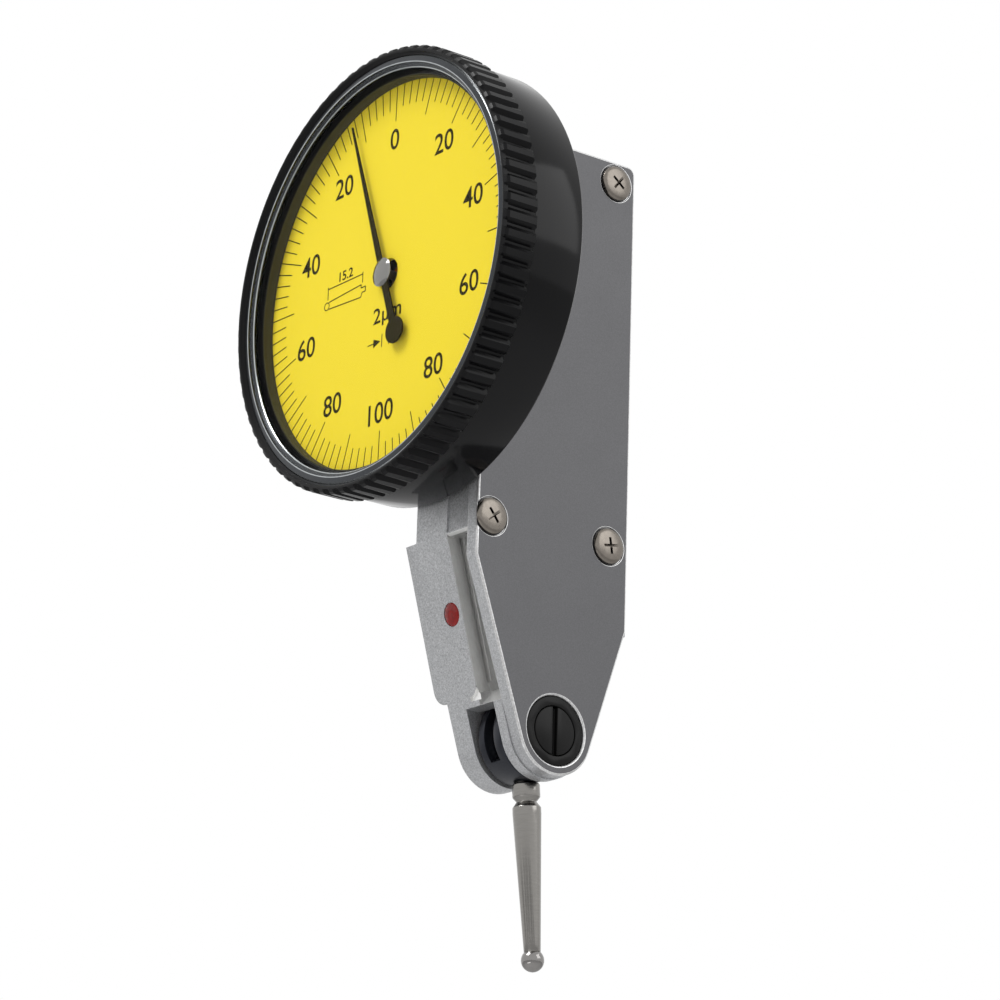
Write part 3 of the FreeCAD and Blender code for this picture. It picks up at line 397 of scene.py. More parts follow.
class Workpiece:
    """One mesh, shaped step by step with Blender's own modelling tools."""

    def __init__(self, name: str, obj: Optional[bpy.types.Object] = None) -> None:
        """Take the object that the last tool made, or a given one."""
        self.object = obj or bpy.context.view_layer.objects.active
        self.object.name = name
        self.object.data.name = name

    @staticmethod
    def clear_selection() -> None:
        """Leave nothing selected."""
        for obj in bpy.context.view_layer.objects:
            obj.select_set(False)

    @classmethod
    def turned(
        cls, name: str, profile: Sequence[Pair], centre: Vector, axis: Axis = Axis.Y, steps: int = 160
    ) -> "Workpiece":
        """Spin a profile about an axis.

        Args:
            name: the piece's name.
            profile: the radius and the distance along the axis of each corner, in millimetres.
            centre: a point on the axis.
            axis: the direction of the axis.
            steps: how many facets go round.

        Returns:
            The closed round piece.
        """
        cls.clear_selection()
        bpy.ops.mesh.primitive_plane_add(size=MM)
        piece = cls(name)
        bpy.ops.object.mode_set(mode="EDIT")
        bpy.ops.mesh.select_all(action="SELECT")
        bpy.ops.mesh.merge(type="CENTER")
        here = centre + axis.out(*profile[0])
        bpy.ops.transform.translate(value=here)
        for corner in profile[1:]:
            there = centre + axis.out(*corner)
            bpy.ops.mesh.extrude_region_move(TRANSFORM_OT_translate={"value": there - here})
            here = there
        bpy.ops.mesh.select_all(action="SELECT")
        bpy.ops.mesh.spin(steps=steps, angle=FULL_TURN, center=centre, axis=axis.value)
        piece.tidy()
        bpy.ops.object.mode_set(mode="OBJECT")
        return piece

    @classmethod
    def copy_of(cls, name: str, node: str) -> "Workpiece":
        """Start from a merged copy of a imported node."""
        cls.clear_selection()
        source = frame["nodes"][node]
        obj = bpy.data.objects.new(name, source.data.copy())
        for key in list(obj.keys()):
            del obj[key]
        bpy.context.scene.collection.objects.link(obj)
        bpy.context.view_layer.objects.active = obj
        obj.select_set(True)
        piece = cls(name, obj)
        obj.data.materials.clear()
        bpy.ops.object.mode_set(mode="EDIT")
        bpy.ops.mesh.select_all(action="SELECT")
        bpy.ops.mesh.remove_doubles(threshold=2e-6)
        bpy.ops.mesh.dissolve_limited(angle_limit=math.radians(0.6))
        bpy.ops.object.mode_set(mode="OBJECT")
        return piece

    @classmethod
    def block(cls, name: str, low: Vector, high: Vector) -> "Workpiece":
        """Start from a block between two corners."""
        cls.clear_selection()
        bpy.ops.mesh.primitive_cube_add(size=1.0)
        piece = cls(name)
        piece.move(Matrix.Translation((low + high) / 2) @ Matrix.Diagonal((*(high - low), 1.0)))
        return piece

    def activate(self) -> None:
        """Make this the only selected object."""
        self.clear_selection()
        self.object.select_set(True)
        bpy.context.view_layer.objects.active = self.object

    def tidy(self) -> None:
        """Merge doubles and point the faces outwards, in edit mode."""
        bpy.ops.mesh.select_all(action="SELECT")
        bpy.ops.mesh.remove_doubles(threshold=1e-7)
        bpy.ops.mesh.normals_make_consistent(inside=False)

    def move(self, matrix: Matrix) -> "Workpiece":
        """Move the mesh and leave the object at the origin."""
        self.object.data.transform(matrix)
        self.object.data.update()
        return self

    def resize(self, chosen: Test, factor: Vector, centre: Vector) -> "Workpiece":
        """Scale the vertices that a test picks."""
        self.activate()
        for vertex in self.object.data.vertices:
            vertex.select = chosen(vertex.co)
        for part in (*self.object.data.edges, *self.object.data.polygons):
            part.select = False
        bpy.ops.object.mode_set(mode="EDIT")
        bpy.context.tool_settings.mesh_select_mode = (True, False, False)
        bpy.ops.transform.resize(value=factor, center_override=centre)
        bpy.ops.object.mode_set(mode="OBJECT")
        return self

    def modifier(self, kind: str, **settings: object) -> "Workpiece":
        """Add a modifier and apply it."""
        self.activate()
        modifier = self.object.modifiers.new(kind.lower(), kind)
        for name, value in settings.items():
            setattr(modifier, name, value)
        bpy.ops.object.modifier_apply(modifier=modifier.name)
        return self

    def slots(self, *finishes: Finish) -> "Workpiece":
        """Give the piece several finishes; its faces stay on the first."""
        self.object.data.materials.clear()
        for finish in finishes:
            self.object.data.materials.append(finish.material())
        return self

    def repaint(self, chosen: Callable[[bpy.types.MeshPolygon], bool], slot: int = 1) -> "Workpiece":
        """Put the faces that a test picks on another of the piece's finishes."""
        for face in self.object.data.polygons:
            if chosen(face):
                face.material_index = slot
        return self

    @classmethod
    def prism(cls, name: str, corners: Sequence[Vector], depth: Vector) -> "Workpiece":
        """Draw an outline and push it along a vector.

        Args:
            name: the piece's name.
            corners: the outline's corners in order.
            depth: the way from the first face to the second.

        Returns:
            The closed piece.
        """
        cls.clear_selection()
        bpy.ops.mesh.primitive_plane_add(size=MM)
        piece = cls(name)
        bpy.ops.object.mode_set(mode="EDIT")
        bpy.ops.mesh.select_all(action="SELECT")
        bpy.ops.mesh.merge(type="CENTER")
        bpy.ops.transform.translate(value=corners[0])
        for here, there in zip(corners, corners[1:]):
            bpy.ops.mesh.extrude_region_move(TRANSFORM_OT_translate={"value": there - here})
        bpy.ops.mesh.select_all(action="SELECT")
        bpy.ops.mesh.edge_face_add()
        bpy.ops.mesh.extrude_region_move(TRANSFORM_OT_translate={"value": depth})
        piece.tidy()
        bpy.ops.object.mode_set(mode="OBJECT")
        return piece

    def bevel(
        self, width: float, segments: int = 2, angle: float = 30.0, slot: int = -1, clamp: bool = True
    ) -> "Workpiece":
        """Round the sharp edges by a width in millimetres, with a finish of their own if a slot is given."""
        return self.modifier(
            "BEVEL",
            material=slot,
            width=width * MM,
            segments=segments,
            limit_method="ANGLE",
            angle_limit=math.radians(angle),
            use_clamp_overlap=clamp,
        )

    def cut(self, *tools: "Workpiece") -> "Workpiece":
        """Take other pieces away from this one and drop them."""
        for tool in tools:
            self.modifier("BOOLEAN", operation="DIFFERENCE", object=tool.object, solver="EXACT")
            bpy.data.objects.remove(tool.object)
        return self

    def join(self, *others: "Workpiece") -> "Workpiece":
        """Put other pieces into this object."""
        self.activate()
        for other in others:
            other.object.select_set(True)
        bpy.ops.object.join()
        return self

    def copy(self, matrix: Matrix) -> "Workpiece":
        """Return a moved copy with a mesh of its own."""
        obj = self.object.copy()
        obj.data = self.object.data.copy()
        bpy.context.scene.collection.objects.link(obj)
        return Workpiece(self.object.name + "_copy", obj).move(matrix)

    def smooth(self, angle: float = 35.0) -> "Workpiece":
        """Shade smoothly except over sharp edges."""
        self.activate()
        bpy.ops.object.shade_smooth_by_angle(angle=math.radians(angle))
        return self

    def even(self, angle: float = 30.0) -> "Workpiece":
        """Shade smoothly with the large faces kept flat."""
        return self.smooth(angle).modifier("WEIGHTED_NORMAL", keep_sharp=True, weight=80)

    def dress(self, finish: Finish, body: str, *nodes: str, slot: str = "") -> bpy.types.Object:
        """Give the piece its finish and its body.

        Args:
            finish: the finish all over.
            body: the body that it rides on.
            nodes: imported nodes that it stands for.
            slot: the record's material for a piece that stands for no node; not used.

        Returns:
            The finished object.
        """
        if len(self.object.data.materials) < 2:
            self.object.data.materials.clear()
            self.object.data.materials.append(finish.material())
        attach(self.object, body)
        if nodes:
            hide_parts(*nodes)
        log.info("%s rides on %s", self.object.name, body)
        return self.object


def paint_node(node: str, finish: Finish) -> None:
    """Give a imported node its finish."""
    materials = frame["nodes"][node].data.materials
    if not materials:
        materials.append(None)
    for index in range(len(materials)):
        materials[index] = finish.material()
    log.info("%s is %s", node, finish.name)


def middle(node: str) -> Vector:
    """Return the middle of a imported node's box."""
    low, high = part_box(node)
    return (low + high) / 2


# ---- the indicator's sub-assemblies ---------------------------------------------------------


@dataclass
class DialHead:
    """The bezel, its crystal and the printed dial, which turn together.

    Attributes are in millimetres; depths are measured from the bezel's front.
    """

    radius: float = 20.0
    width: float = 3.3
    ribs: int = 80
    rib_steps: int = 8
    rib_depth: float = 0.36
    rim_outer: float = 19.1
    rim_inner: float = 18.46
    seat: float = 18.05
    wall: float = 17.72
    # Width of the rim's narrow bevels that carry the painted highlight lines.
    line: float = 0.09
    dial_depth: float = 2.4
    ink_depth: float = 0.012
    dial_turn: float = 1.16
    number_radius: float = 12.6
    number_height: float = 1.88
    long_tick: float = 14.3
    short_tick: float = 15.5
    tick_end: float = 17.6
    tick_width: float = 0.1
    weight: float = 0.018

    def __post_init__(self) -> None:
        """Find the dial's axis and the bezel's front."""
        low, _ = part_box("bezel_ring")
        self.centre = middle("bezel_ring")
        self.centre.y = low.y
        _, crystal_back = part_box("crystal")
        self.crystal_back = (crystal_back.y - low.y) / MM

    def build(self) -> None:
        """Make every piece of the dial head."""
        self.make_ring()
        self.make_crystal()
        self.make_dial()
        self.make_ticks()
        self.make_numbers()
        self.make_marks()

    def make_ring(self) -> None:
        """Turn the bezel and press the ribs into its rim."""
        profile = [
            (self.radius, 0.42),
            (19.86, 0.16),
            (19.62, 0.02),
            (19.5, 0.0),
            (19.38, 0.04),
            (self.rim_outer + 0.03, 0.4),
            (self.rim_outer + 0.03, self.crystal_back + 0.05),
            (self.wall, self.crystal_back + 0.05),
            (self.wall, self.dial_depth),
            (17.92, self.dial_depth),
            (17.92, 5.58),
            (18.58, 5.58),
            (18.58, self.width),
            (self.radius - 0.06, self.width),
            (self.radius, self.width - 0.06),
            (self.radius, 0.42),
        ]
        steps = self.ribs * self.rib_steps
        ring = Workpiece.turned("bezel_ring_ribbed", profile, self.centre, steps=steps)
        floor = self.radius - self.rib_depth

        def in_groove(point: Vector) -> bool:
            """True for the rim's points between two ribs."""
            away = point - self.centre
            turn = math.atan2(away.x, away.z) / FULL_TURN * steps
            reach = math.hypot(away.x, away.z) / MM
            mouth = (0, 1) if away.y > 0.5 * MM else (self.rib_steps - 1, 0, 1, 2)
            return reach > floor + 0.1 and round(turn) % self.rib_steps in mouth

        def pull(point: Vector) -> float:
            """Return how far a point's radius goes down to the groove's floor."""
            away = point - self.centre
            return floor / (math.hypot(away.x, away.z) / MM)

        mesh = ring.object.data
        depths = sorted({round(v.co.y / MM, 3) for v in mesh.vertices if in_groove(v.co)})
        for depth in depths:
            level = [v.co for v in mesh.vertices if in_groove(v.co) and round(v.co.y / MM, 3) == depth]
            factor = pull(level[0])
            ring.resize(
                lambda p: in_groove(p) and round(p.y / MM, 3) == depth, Vector((factor, 1.0, factor)), self.centre
            )
        ring.smooth(28.0).dress(BEZEL, "bezel", "bezel_ring")

        lining = [
            (self.wall - 0.01, self.crystal_back + 0.06),
            (self.wall - 0.01, self.dial_depth - 0.02),
            (self.wall - 0.13, self.dial_depth - 0.02),
            (self.seat - 0.45, self.crystal_back + 0.06),
            (self.wall - 0.01, self.crystal_back + 0.06),
        ]
        Workpiece.turned("bezel_lining", lining, self.centre).smooth().dress(WALL, "bezel", slot="black_bezel")

    def make_crystal(self) -> None:
        """Turn the crystal, with its bevelled rim as a ring of its own whose narrow bevels carry painted highlight
        lines.
        """
        profile = [
            (0.0, 0.29),
            (self.rim_inner - 0.04, 0.29),
            (self.rim_inner - 0.04, self.crystal_back),
            (0.0, self.crystal_back),
        ]
        Workpiece.turned("crystal_disc", profile, self.centre).smooth().dress(CLEAR, "bezel", "crystal")
        rim = [
            (self.rim_outer, 0.43),
            (self.rim_outer - self.line, 0.35),
            (self.rim_inner + self.line, 0.28),
            (self.rim_inner, 0.3),
            (self.rim_inner, 0.5),
            (self.seat + self.line, 0.62),
            (self.seat, 0.68),
            (self.seat, 0.78),
            (self.rim_inner, self.crystal_back),
            (self.rim_outer, self.crystal_back),
            (self.rim_outer, 0.43),
        ]
        # The rim's narrow bevels get the painted highlight lines.
        edge = Workpiece.turned("crystal_rim", rim, self.centre, steps=200).slots(RIM, PAINTED_RIM_HIGHLIGHT)

        def on_line(face: bpy.types.MeshPolygon) -> bool:
            """True for the narrow bevels of the rim's edges, which get the painted highlight."""
            away = (face.center - self.centre) / MM
            radius = math.hypot(away.x, away.z)
            near = any(0.0 < radius - start < self.line for start in (self.rim_inner, self.seat))
            return away.y < 0.7 and (near or radius > self.rim_outer - self.line)

        edge.repaint(on_line).smooth(20.0).dress(RIM, "bezel", slot="black_bezel")

    def make_dial(self) -> None:
        """Turn the yellow dial with a slight rounding at its hole."""
        back = self.dial_depth + 0.4
        profile = [
            (1.4, self.dial_depth + 0.05),
            (1.45, self.dial_depth),
            (self.wall + 0.1, self.dial_depth),
            (self.wall + 0.1, back),
            (1.4, back),
            (1.4, self.dial_depth + 0.05),
        ]
        Workpiece.turned("dial_plate", profile, self.centre).smooth().dress(PAINT, "bezel", "dial_face")

    def on_dial(self, across: float, up: float) -> Vector:
        """Return a place on the dial's printed face."""
        return self.centre + mm(across, self.dial_depth - self.ink_depth, up)

    def stroke(self, name: str, start: Pair, end: Pair, width: float) -> Workpiece:
        """Lay one thin printed line between two points of the dial."""
        first, last = Vector((start[0], 0.0, start[1])), Vector((end[0], 0.0, end[1]))
        along = last - first
        line = Workpiece.block(name, mm(-width / 2, 0.0, 0.0), mm(width / 2, self.ink_depth, along.length))
        turn = Matrix.Rotation(math.atan2(along.x, along.z), 4, "Y")
        line.move(Matrix.Translation(self.on_dial(*start)) @ turn)
        return line

    def round_the_dial(self, piece: Workpiece, count: int) -> Workpiece:
        """Repeat a printed line all round the dial."""
        piece.activate()
        bpy.ops.object.mode_set(mode="EDIT")
        bpy.ops.mesh.select_all(action="SELECT")
        bpy.ops.mesh.spin(steps=count, angle=FULL_TURN, center=self.centre, axis=Axis.Y.value, dupli=True)
        bpy.ops.mesh.select_all(action="SELECT")
        bpy.ops.mesh.remove_doubles(threshold=1e-7)
        bpy.ops.object.mode_set(mode="OBJECT")
        return piece

    def at(self, radius: float, turn: float) -> Pair:
        """Return the place at a radius and a clockwise angle from the dial's own top."""
        angle = math.radians(turn + self.dial_turn)
        return radius * math.sin(angle), radius * math.cos(angle)

    def make_ticks(self) -> None:
        """Print a hundred short lines and lengthen every fifth."""
        short = self.stroke("dial_ticks", self.at(self.short_tick, 0), self.at(self.tick_end, 0), self.tick_width)
        ticks = self.round_the_dial(short, 100)
        longer = self.stroke("long_ticks", self.at(self.long_tick, 0), self.at(self.short_tick, 0), self.tick_width)
        ticks.join(self.round_the_dial(longer, 20)).dress(INK, "bezel", slot="pointer_paint")

    def lettering(self, text: str, at: Pair, height: float, narrow: float = 1.03) -> Workpiece:
        """Set upright text centred on a point of the dial.

        Args:
            text: what it says.
            at: the middle of the text, across and up from the dial's centre.
            height: the height of a figure.
            narrow: how far the letters are squeezed.

        Returns:
            The text as a mesh.
        """
        Workpiece.clear_selection()
        bpy.ops.object.text_add()
        obj = bpy.context.view_layer.objects.active
        obj.data.body = text
        obj.data.align_x, obj.data.align_y = "CENTER", "CENTER"
        obj.data.size = height / 0.69 * MM
        obj.data.extrude = self.ink_depth / 2 * MM
        obj.data.resolution_u = 5
        obj.data.offset = self.weight * MM
        bpy.ops.object.convert(target="MESH")
        piece = Workpiece("lettering")
        corners = [Vector(c) for c in piece.object.bound_box]
        centre = sum(corners, Vector()) / len(corners)
        squeeze = Matrix.Diagonal((narrow, 1.0, 1.0, 1.0)) @ Matrix.Translation(-centre)
        stand = Matrix.Rotation(math.pi / 2, 4, "X")
        lift = mm(0.0, self.ink_depth / 2, 0.0)
        piece.move(Matrix.Translation(self.on_dial(*at) + lift) @ stand @ squeeze)
        return piece

    def make_numbers(self) -> None:
        """Print the balanced scale: up from 0 to 100 and back on both sides."""
        figures = []
        for index in range(10):
            value = 20 * min(index, 10 - index)
            place = self.at(self.number_radius, 36.0 * index)
            figures.append(self.lettering(str(value), place, self.number_height))
        figures[0].object.name = "dial_numbers"
        figures[0].join(*figures[1:]).dress(INK, "bezel", slot="pointer_paint")

    def make_marks(self) -> None:
        """Print the graduation value with its two arrows, and the point length with its outline."""
        marks = self.lettering("2µm", (0.15, -3.7), 1.4, 1.15)
        marks.object.name = "dial_marks"
        thin = 0.1
        lines = [
            ((-0.5, -6.6), (-0.5, -5.4)),
            ((0.5, -6.6), (0.5, -5.4)),
            ((-2.6, -6.0), (-1.7, -6.0)),
            ((2.6, -6.0), (1.7, -6.0)),
            ((-9.03, 0.1), (-9.03, 1.3)),
            ((-3.78, 0.3), (-3.78, 1.3)),
            ((-9.03, 1.1), (-3.78, 1.1)),
            ((-8.85, -0.15), (-3.97, 0.14)),
            ((-8.85, -0.8), (-3.97, -1.04)),
            ((-3.97, 0.14), (-3.97, -0.17)),
            ((-3.97, -0.17), (-3.3, -0.17)),
            ((-3.3, -0.17), (-3.3, -0.62)),
            ((-3.3, -0.62), (-3.8, -0.62)),
            ((-3.8, -0.62), (-3.97, -1.04)),
        ]
        strokes = [self.stroke("mark", *line, thin) for line in lines]
        for side in (-1.0, 1.0):
            outline = [(0.71, -6.0), (1.75, -5.6), (1.75, -6.4)]
            corners = [self.on_dial(side * across, up) for across, up in outline]
            strokes.append(Workpiece.prism("arrow", corners, mm(0.0, self.ink_depth, 0.0)))
        ball = Workpiece.turned(
            "ball_outline",
            [(0.31, 0.0), (0.4, 0.0), (0.4, self.ink_depth), (0.31, self.ink_depth), (0.31, 0.0)],
            self.on_dial(-9.15, -0.48),
            steps=32,
        )
        length = self.lettering("15.2", (-6.35, 1.8), 0.85, 1.1)
        marks.join(*strokes, ball, length).dress(INK, "bezel", slot="pointer_paint")


@dataclass
class Pointer:
    """The needle on its spindle, and the polished cap that holds it."""

    cap_radius: float = 1.3
    dome: float = 0.28

    def build(self) -> None:
        """Round the needle's edges and turn the cap."""
        Workpiece.copy_of("needle", "pointer").bevel(0.03, 1).smooth().dress(NEEDLE, "pointer", "pointer")
        centre = middle("pointer_cap")
        low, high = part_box("pointer_cap")
        depth = (high.y - low.y) / MM
        centre.y = low.y
        profile = [
            (0.0, 0.0),
            *[(self.cap_radius * step / 12, self.dome * (step / 12) ** 2.4) for step in range(1, 13)],
            (self.cap_radius, depth),
            (0.0, depth),
        ]
        cap = Workpiece.turned("pointer_boss", profile, centre, steps=96)
        cap.smooth(40.0).dress(POLISHED, "pointer", "pointer_cap")


@dataclass
class Case:
    """The gloss black case that carries the dial head."""

    def build(self) -> None:
        """Round the case's rims."""
        case = Workpiece.copy_of("case_shell", "dial_case")
        case.bevel(0.07, 2, 40.0).smooth(40.0).dress(CASE, "body", "dial_case")
        screws = Workpiece.copy_of("case_screw_pair", "case_screws")
        screws.bevel(0.06, 2, 40.0).smooth(40.0).dress(NICKEL, "body", "case_screws")


@dataclass
class Screw:
    """A cross-recessed pan head screw.

    Attributes are in millimetres, measured along the screw from its seat.
    """

    head: float = 1.6
    height: float = 0.42
    shank: float = 0.78
    length: float = 3.6
    arm: float = 0.95
    arm_width: float = 0.3
    recess: float = 0.5
    ring: float = 1.74

    def make(self, turn: float) -> Workpiece:
        """Return one screw about the origin, its head towards +X, its cross turned by an angle."""
        profile = [
            (0.0, self.height),
            (0.7, self.height - 0.015),
            (1.2, self.height - 0.07),
            (1.42, self.height - 0.13),
            (1.55, self.height - 0.22),
            (self.head, self.height - 0.3),
            (self.head, 0.03),
            (self.head - 0.03, 0.0),
            (self.shank, 0.0),
            (self.shank, -self.length + 0.2),
            (self.shank - 0.2, -self.length),
            (0.0, -self.length),
        ]
        screw = Workpiece.turned("screw", profile, Vector(), Axis.X, steps=72)
        for quarter in range(2):
            wing = Workpiece.block(
                "wing",
                mm(-0.1, -self.arm, -self.arm_width / 2),
                mm(self.height + 0.2, self.arm, self.arm_width / 2),
            )
            deep = self.height - self.recess
            wing.move(Matrix.Translation(mm(deep + 0.1, 0.0, 0.0)))
            wing.resize(lambda p: p.x < deep * MM + 1e-5, Vector((1.0, 0.35, 0.6)), Vector())
            wing.move(Matrix.Rotation(math.radians(turn + 90.0 * quarter), 4, "X"))
            screw.cut(wing)
        return screw


@dataclass
class Frame:
    """The cast frame, its cover, the cover's screws and the red mark."""

    screw_turns: tuple[float, ...] = (20.0, 52.0, 38.0, 10.0)
    front: float = 8.73
    bend: float = -22.5
    slant: float = 16.0
    rail_left: float = -4.57
    rail_right: float = 1.3
    root: float = -0.2
    cover_inner: float = 4.24
    rail_depth: float = 2.6
    screw_seat: float = 0.14

    def __post_init__(self) -> None:
        """Find the middle of the dial, from which the sizes are measured."""
        self.centre = middle("bezel_ring")
        self.centre.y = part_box("bezel_ring")[0].y

    def on_rail(self, x: float, down: float, deep: float) -> Vector:
        """Return a place on the slanted front.

        Args:
            x: millimetres to the right.
            down: millimetres down the slanted rail's face.
            deep: millimetres below that face.

        Returns:
            The place in the scene.
        """
        turn = math.radians(self.slant)
        y = self.front + down * math.sin(turn) + deep * math.cos(turn)
        z = self.bend - down * math.cos(turn) + deep * math.sin(turn)
        return self.centre + mm(x, y, z)

    def corner_cutter(self, x: float, down: float, radius: float, side: float, depth: float) -> Workpiece:
        """Return a tool that rounds a corner of the rail's face.

        Args:
            x: the corner's side edge.
            down: the corner's lower edge.
            radius: the rounding.
            side: 1 where the rail lies to the right of the edge, -1 where it lies to the left.
            depth: how deep the tool goes.

        Returns:
            The tool.
        """
        arc = []
        for step in range(9):
            angle = math.radians(90.0 / 8 * step)
            arc.append((x + side * radius * (1 - math.cos(angle)), down - radius * (1 - math.sin(angle))))
        outline = [(x - side * 0.3, down - radius), *arc, (x + side * radius, down + 0.4), (x - side * 0.3, down + 0.4)]
        corners = [self.on_rail(u, v, -0.3) for u, v in outline]
        return Workpiece.prism("corner", corners, self.on_rail(x, down, depth) - self.on_rail(x, down, -0.3))

    def in_groove(self, face: bpy.types.MeshPolygon) -> bool:
        """True for the faces of the groove between the rail and the cover."""
        place = (face.center - self.centre) / MM
        turn = math.radians(self.slant)
        deep = (place.y - self.front) * math.cos(turn) + (place.z - self.bend) * math.sin(turn)
        down = (place.y - self.front) * math.sin(turn) - (place.z - self.bend) * math.cos(turn)
        return self.root - 0.5 < place.x < self.cover_inner and 0.05 < deep < 3.2 and -0.1 < down < 15.2

    def build(self) -> None:
        """Round the casting's edges, dress the cover and set the screws."""
        casting = Workpiece.copy_of("casting", "frame_casting")
        width = Vector(((self.cover_inner + 1.0 - self.rail_right) * MM, 0.0, 0.0))
        for ramp in (
            [(0.1, 0.0), (2.0, self.rail_depth), (2.0, -0.5), (0.1, -0.5)],
            [(13.3, self.rail_depth), (15.0, 0.3), (15.3, -0.5), (13.3, -0.5)],
        ):
            corners = [self.on_rail(self.rail_right, down, deep) for down, deep in ramp]
            casting.cut(Workpiece.prism("ramp", corners, width))
        casting.cut(self.corner_cutter(self.rail_left, 14.2, 1.3, 1.0, self.rail_depth))
        casting.cut(self.corner_cutter(self.rail_right, 14.2, 1.1, -1.0, 0.3))
        casting.slots(BLASTED, MACHINED)
        casting.bevel(0.1, 2, 25.0).repaint(self.in_groove).even(30.0).dress(BLASTED, "body", "frame_casting")
        cover = Workpiece.copy_of("cover_plate", "side_cover").slots(COVER, PAINTED_EDGE_HIGHLIGHT, BLASTED)
        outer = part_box("side_cover")[1].x
        for y, z in self.screw_places():
            seat = [(0.0, -self.screw_seat), (Screw().ring, -self.screw_seat), (Screw().ring, 0.3), (0.0, 0.3)]
            cover.cut(Workpiece.turned("seat", seat, Vector((outer, y, z)), Axis.X, steps=64))
        cover.repaint(lambda face: abs(face.normal.x) < 0.3, 2)
        # The cover's chamfers get the painted edge highlight; the bevel below puts its rounded edges on it too.
        cover.repaint(lambda face: 0.3 < abs(face.normal.x) < 0.95)
        cover.bevel(0.06, 2, 30.0, slot=1, clamp=False).even(30.0).dress(COVER, "body", "side_cover")
        mark = Workpiece.copy_of("red_dot", "red_mark")
        mark.smooth(60.0).dress(ENAMEL, "body", "red_mark")
        self.make_screws()

    def screw_places(self) -> list[Pair]:
        """Return the y and z of the cover's four screws."""
        low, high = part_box("cover_screws")
        inset = Screw().head * MM
        return [(y, z) for z in (high.z - inset, low.z + inset) for y in (low.y + inset, high.y - inset)]

    def make_screws(self) -> None:
        """Set a screw at each corner of the cover."""
        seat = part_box("side_cover")[1].x
        screws = []
        for (y, z), turn in zip(self.screw_places(), self.screw_turns):
            screws.append(Screw().make(turn).move(Matrix.Translation((seat, y, z))))
        screws[0].object.name = "cover_screw_set"
        screws[0].join(*screws[1:]).smooth(35.0).dress(NICKEL, "body", "cover_screws")


@dataclass
class Clevis:
    """The stylus joint: hub, pivot screws, ring and washers."""

    def build(self) -> None:
        """Round and dress each piece of the joint."""
        for name, node, finish, body in (
            ("hub", "stylus_hub", BLUED, "stylus"),
            ("right_screw", "right_pivot_screw", BLACKED, "body"),
            ("left_screw", "left_pivot_screw", BLACKED, "body"),
            ("joint_ring", "pivot_ring", BLACKED, "body"),
        ):
            Workpiece.copy_of(name, node).bevel(0.06, 2, 35.0).smooth(35.0).dress(finish, body, node)
        Workpiece.copy_of("washers", "pivot_washers").smooth().dress(WASHER, "body", "pivot_washers")
        Workpiece.copy_of("point", "stylus").bevel(0.05, 2, 25.0).smooth(30.0).dress(BRUSHED, "stylus", "stylus")
        Workpiece.copy_of("ball", "contact_ball").smooth(60.0).dress(POLISHED, "stylus", "contact_ball")


class Movement:
    """The gear train and the small parts inside the frame."""

    FINISHES = {
        "movement_bridge": BRASS,
        "bridge_pillars": BRASS,
        "bridge_screws": STEEL,
        "movement_bushes": BRASS,
        "spindle_post": STEEL,
        "crown_wheel": BRASS,
        "sector_gear": BRASS,
        "pointer_spindle": STEEL,
        "lever_arm": STEEL,
        "pivot_pin": STEEL,
        "pivot_bearings": BRASS,
        "lever_spring": BRONZE,
        "limit_pins": STEEL,
        "hairspring": BRONZE,
        "hairspring_collet": BRASS,
        "hairspring_stud": BRASS,
        "bezel_spring": BRONZE,
        "dial_snap_ring": STEEL,
    }

    def build(self) -> None:
        """Dress every piece of the movement."""
        for node, finish in self.FINISHES.items():
            paint_node(node, finish)


# ---- studio ---------------------------------------------------------------------------------


@dataclass(frozen=True)
class Lamp:
    """A soft square lamp.

    Attributes:
        name: its name.
        azimuth: its direction from the object, turning from the front to the right, in degrees.
        elevation: its height above the horizon in degrees.
        distance: metres from the object.
        size: metres across.
        power: watts.
    """

    name: str
    azimuth: float
    elevation: float
    distance: float
    size: float
    power: float

    def place(self, target: Vector) -> None:
        """Hang the lamp and aim it at the target."""
        data = bpy.data.lights.new(self.name, "AREA")
        data.size, data.energy = self.size, self.power
        lamp = bpy.data.objects.new(self.name, data)
        turn, rise = math.radians(self.azimuth), math.radians(self.elevation)
        back = Vector((math.sin(turn) * math.cos(rise), -math.cos(turn) * math.cos(rise), math.sin(rise)))
        lamp.location = target + back * self.distance
        lamp.rotation_euler = (-back).to_track_quat("-Z", "Y").to_euler()
        bpy.context.scene.collection.objects.link(lamp)


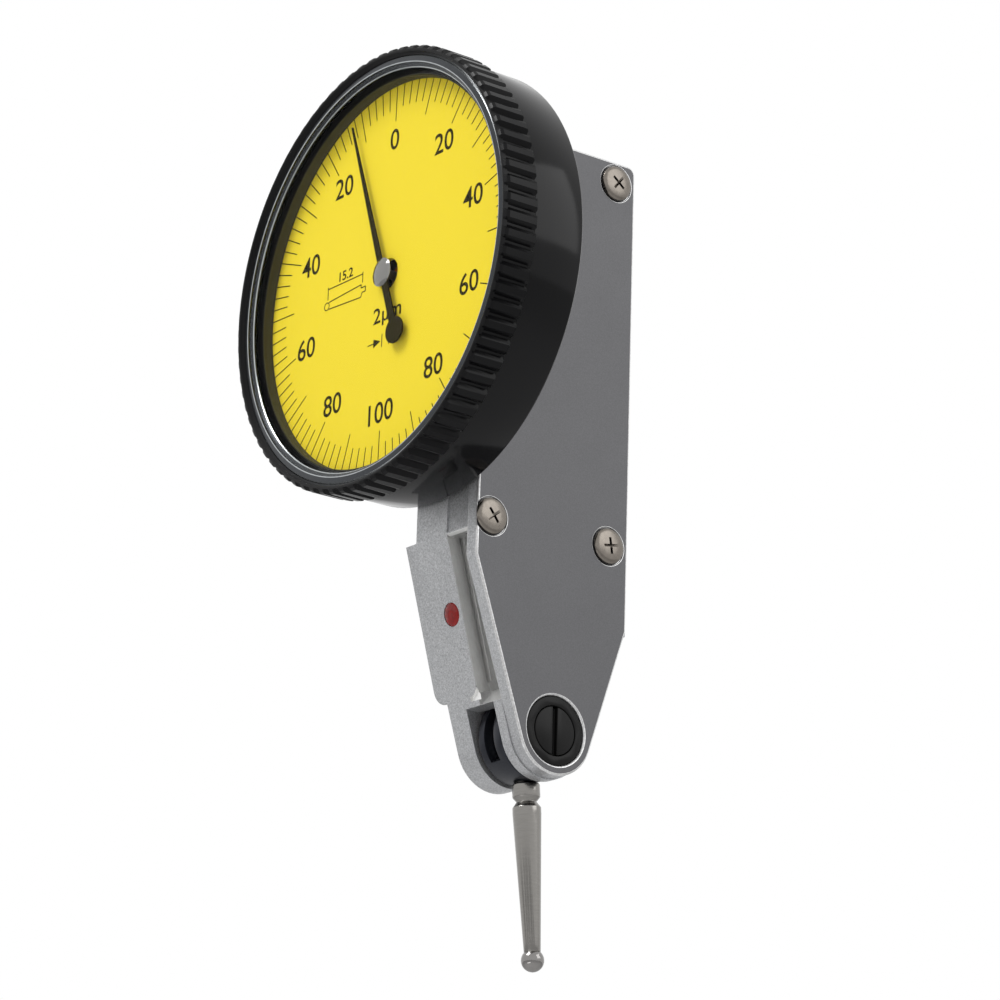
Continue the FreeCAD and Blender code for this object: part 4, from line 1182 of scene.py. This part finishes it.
@dataclass
class Studio:
    """Camera, lamps, floor and background."""

    azimuth: float = 52.99
    elevation: float = -17.81
    roll: float = 1.76
    distance: float = 344.1
    aside: float = 11.64
    below: float = 20.12
    lens: float = 143.24
    floor_drop: float = 0.36
    fill: float = 0.62
    lamps: tuple[Lamp, ...] = (
        Lamp("key", -14.0, 52.0, 0.7, 0.3, 3.1),
        Lamp("low_front", 12.0, -45.0, 0.7, 0.4, 1.6),
        Lamp("right_fill", 118.0, 30.0, 0.8, 0.5, 1.2),
    )

    def build(self, centre: Vector) -> None:
        """Set the studio up round the dial's centre."""
        self.place_camera(centre)
        low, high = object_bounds()
        for lamp in self.lamps:
            lamp.place((low + high) / 2)
        self.lay_floor(low.z)
        self.light_world()
        bpy.context.scene.view_settings.view_transform = "Standard"

    def place_camera(self, centre: Vector) -> None:
        """Aim the camera past the dial's centre."""
        turn, rise = math.radians(self.azimuth), math.radians(self.elevation)
        back = Vector((math.sin(turn) * math.cos(rise), -math.cos(turn) * math.cos(rise), math.sin(rise)))
        right = Vector((math.cos(turn), math.sin(turn), 0.0))
        up = back.cross(right)
        lean = Matrix.Rotation(math.radians(self.roll), 3, back)
        right, up = lean @ right, lean @ up
        data = bpy.data.cameras.new("camera")
        data.lens, data.sensor_width = self.lens, 36.0
        data.clip_start, data.clip_end = 0.01, 10.0
        camera = bpy.data.objects.new("camera", data)
        camera.matrix_world = Matrix((right, up, back)).transposed().to_4x4()
        camera.location = centre + (back * self.distance + right * self.aside - up * self.below) * MM
        bpy.context.scene.collection.objects.link(camera)
        bpy.context.scene.camera = camera

    def white(self, graph: Graph, own: Colour, strength: float) -> bpy.types.Node:
        """Return a shader that is plain white to the eye and in reflections.

        Args:
            graph: the nodes to add to.
            own: the colour that lights the object.
            strength: how strongly it does.

        Returns:
            The mixed shader.
        """
        path = graph.node("ShaderNodeLightPath")
        seen = Signal(graph, path.outputs["Is Camera Ray"])
        seen = seen + Signal(graph, path.outputs["Is Glossy Ray"])
        seen = (seen + Signal(graph, path.outputs["Is Transmission Ray"])).between(0.0, 1.0)
        colour = graph.mix(seen, own, (1.0, 1.0, 1.0))
        level = seen * (1.0 - strength) + strength
        return graph.node("ShaderNodeBackground", {"Color": colour, "Strength": level})

    def light_world(self) -> None:
        """Fill the world with plain soft white."""
        world = bpy.data.worlds.new("studio")
        bpy.context.scene.world = world
        world.use_nodes = True
        graph = Graph(world.node_tree)
        surface = self.white(graph, (1.0, 1.0, 1.0), self.fill)
        output = graph.tree.nodes.new("ShaderNodeOutputWorld")
        graph.tree.links.new(surface.outputs[0], output.inputs[0])

    def lay_floor(self, level: float) -> None:
        """Lay a pale floor well below the hanging indicator."""
        Workpiece.clear_selection()
        bpy.ops.mesh.primitive_plane_add(size=8.0)
        floor = Workpiece("floor")
        floor.move(Matrix.Translation((0.0, 0.0, level - self.floor_drop)))
        material = bpy.data.materials.new("floor_white")
        material.use_nodes = True
        graph = Graph(material.node_tree)
        grain = graph.noise(30.0)
        colour = graph.mix(grain, (0.9, 0.9, 0.9), (0.92, 0.92, 0.92))
        graph.finish(graph.node("ShaderNodeBsdfPrincipled", {"Base Color": colour, "Roughness": 0.9}))
        floor.object.data.materials.append(material)
        floor.object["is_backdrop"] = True


def main() -> None:
    """Build the indicator's pieces in order."""
    logging.basicConfig(level=logging.INFO, format="%(message)s")
    Workpiece.clear_selection()
    head = DialHead()
    for part in (head, Pointer(), Case(), Frame(), Clevis(), Movement()):
        part.build()
    Studio().build(middle("bezel_ring") - Vector((0.0, middle("bezel_ring").y - head.centre.y, 0.0)))


if __name__ == "__main__":
    main()
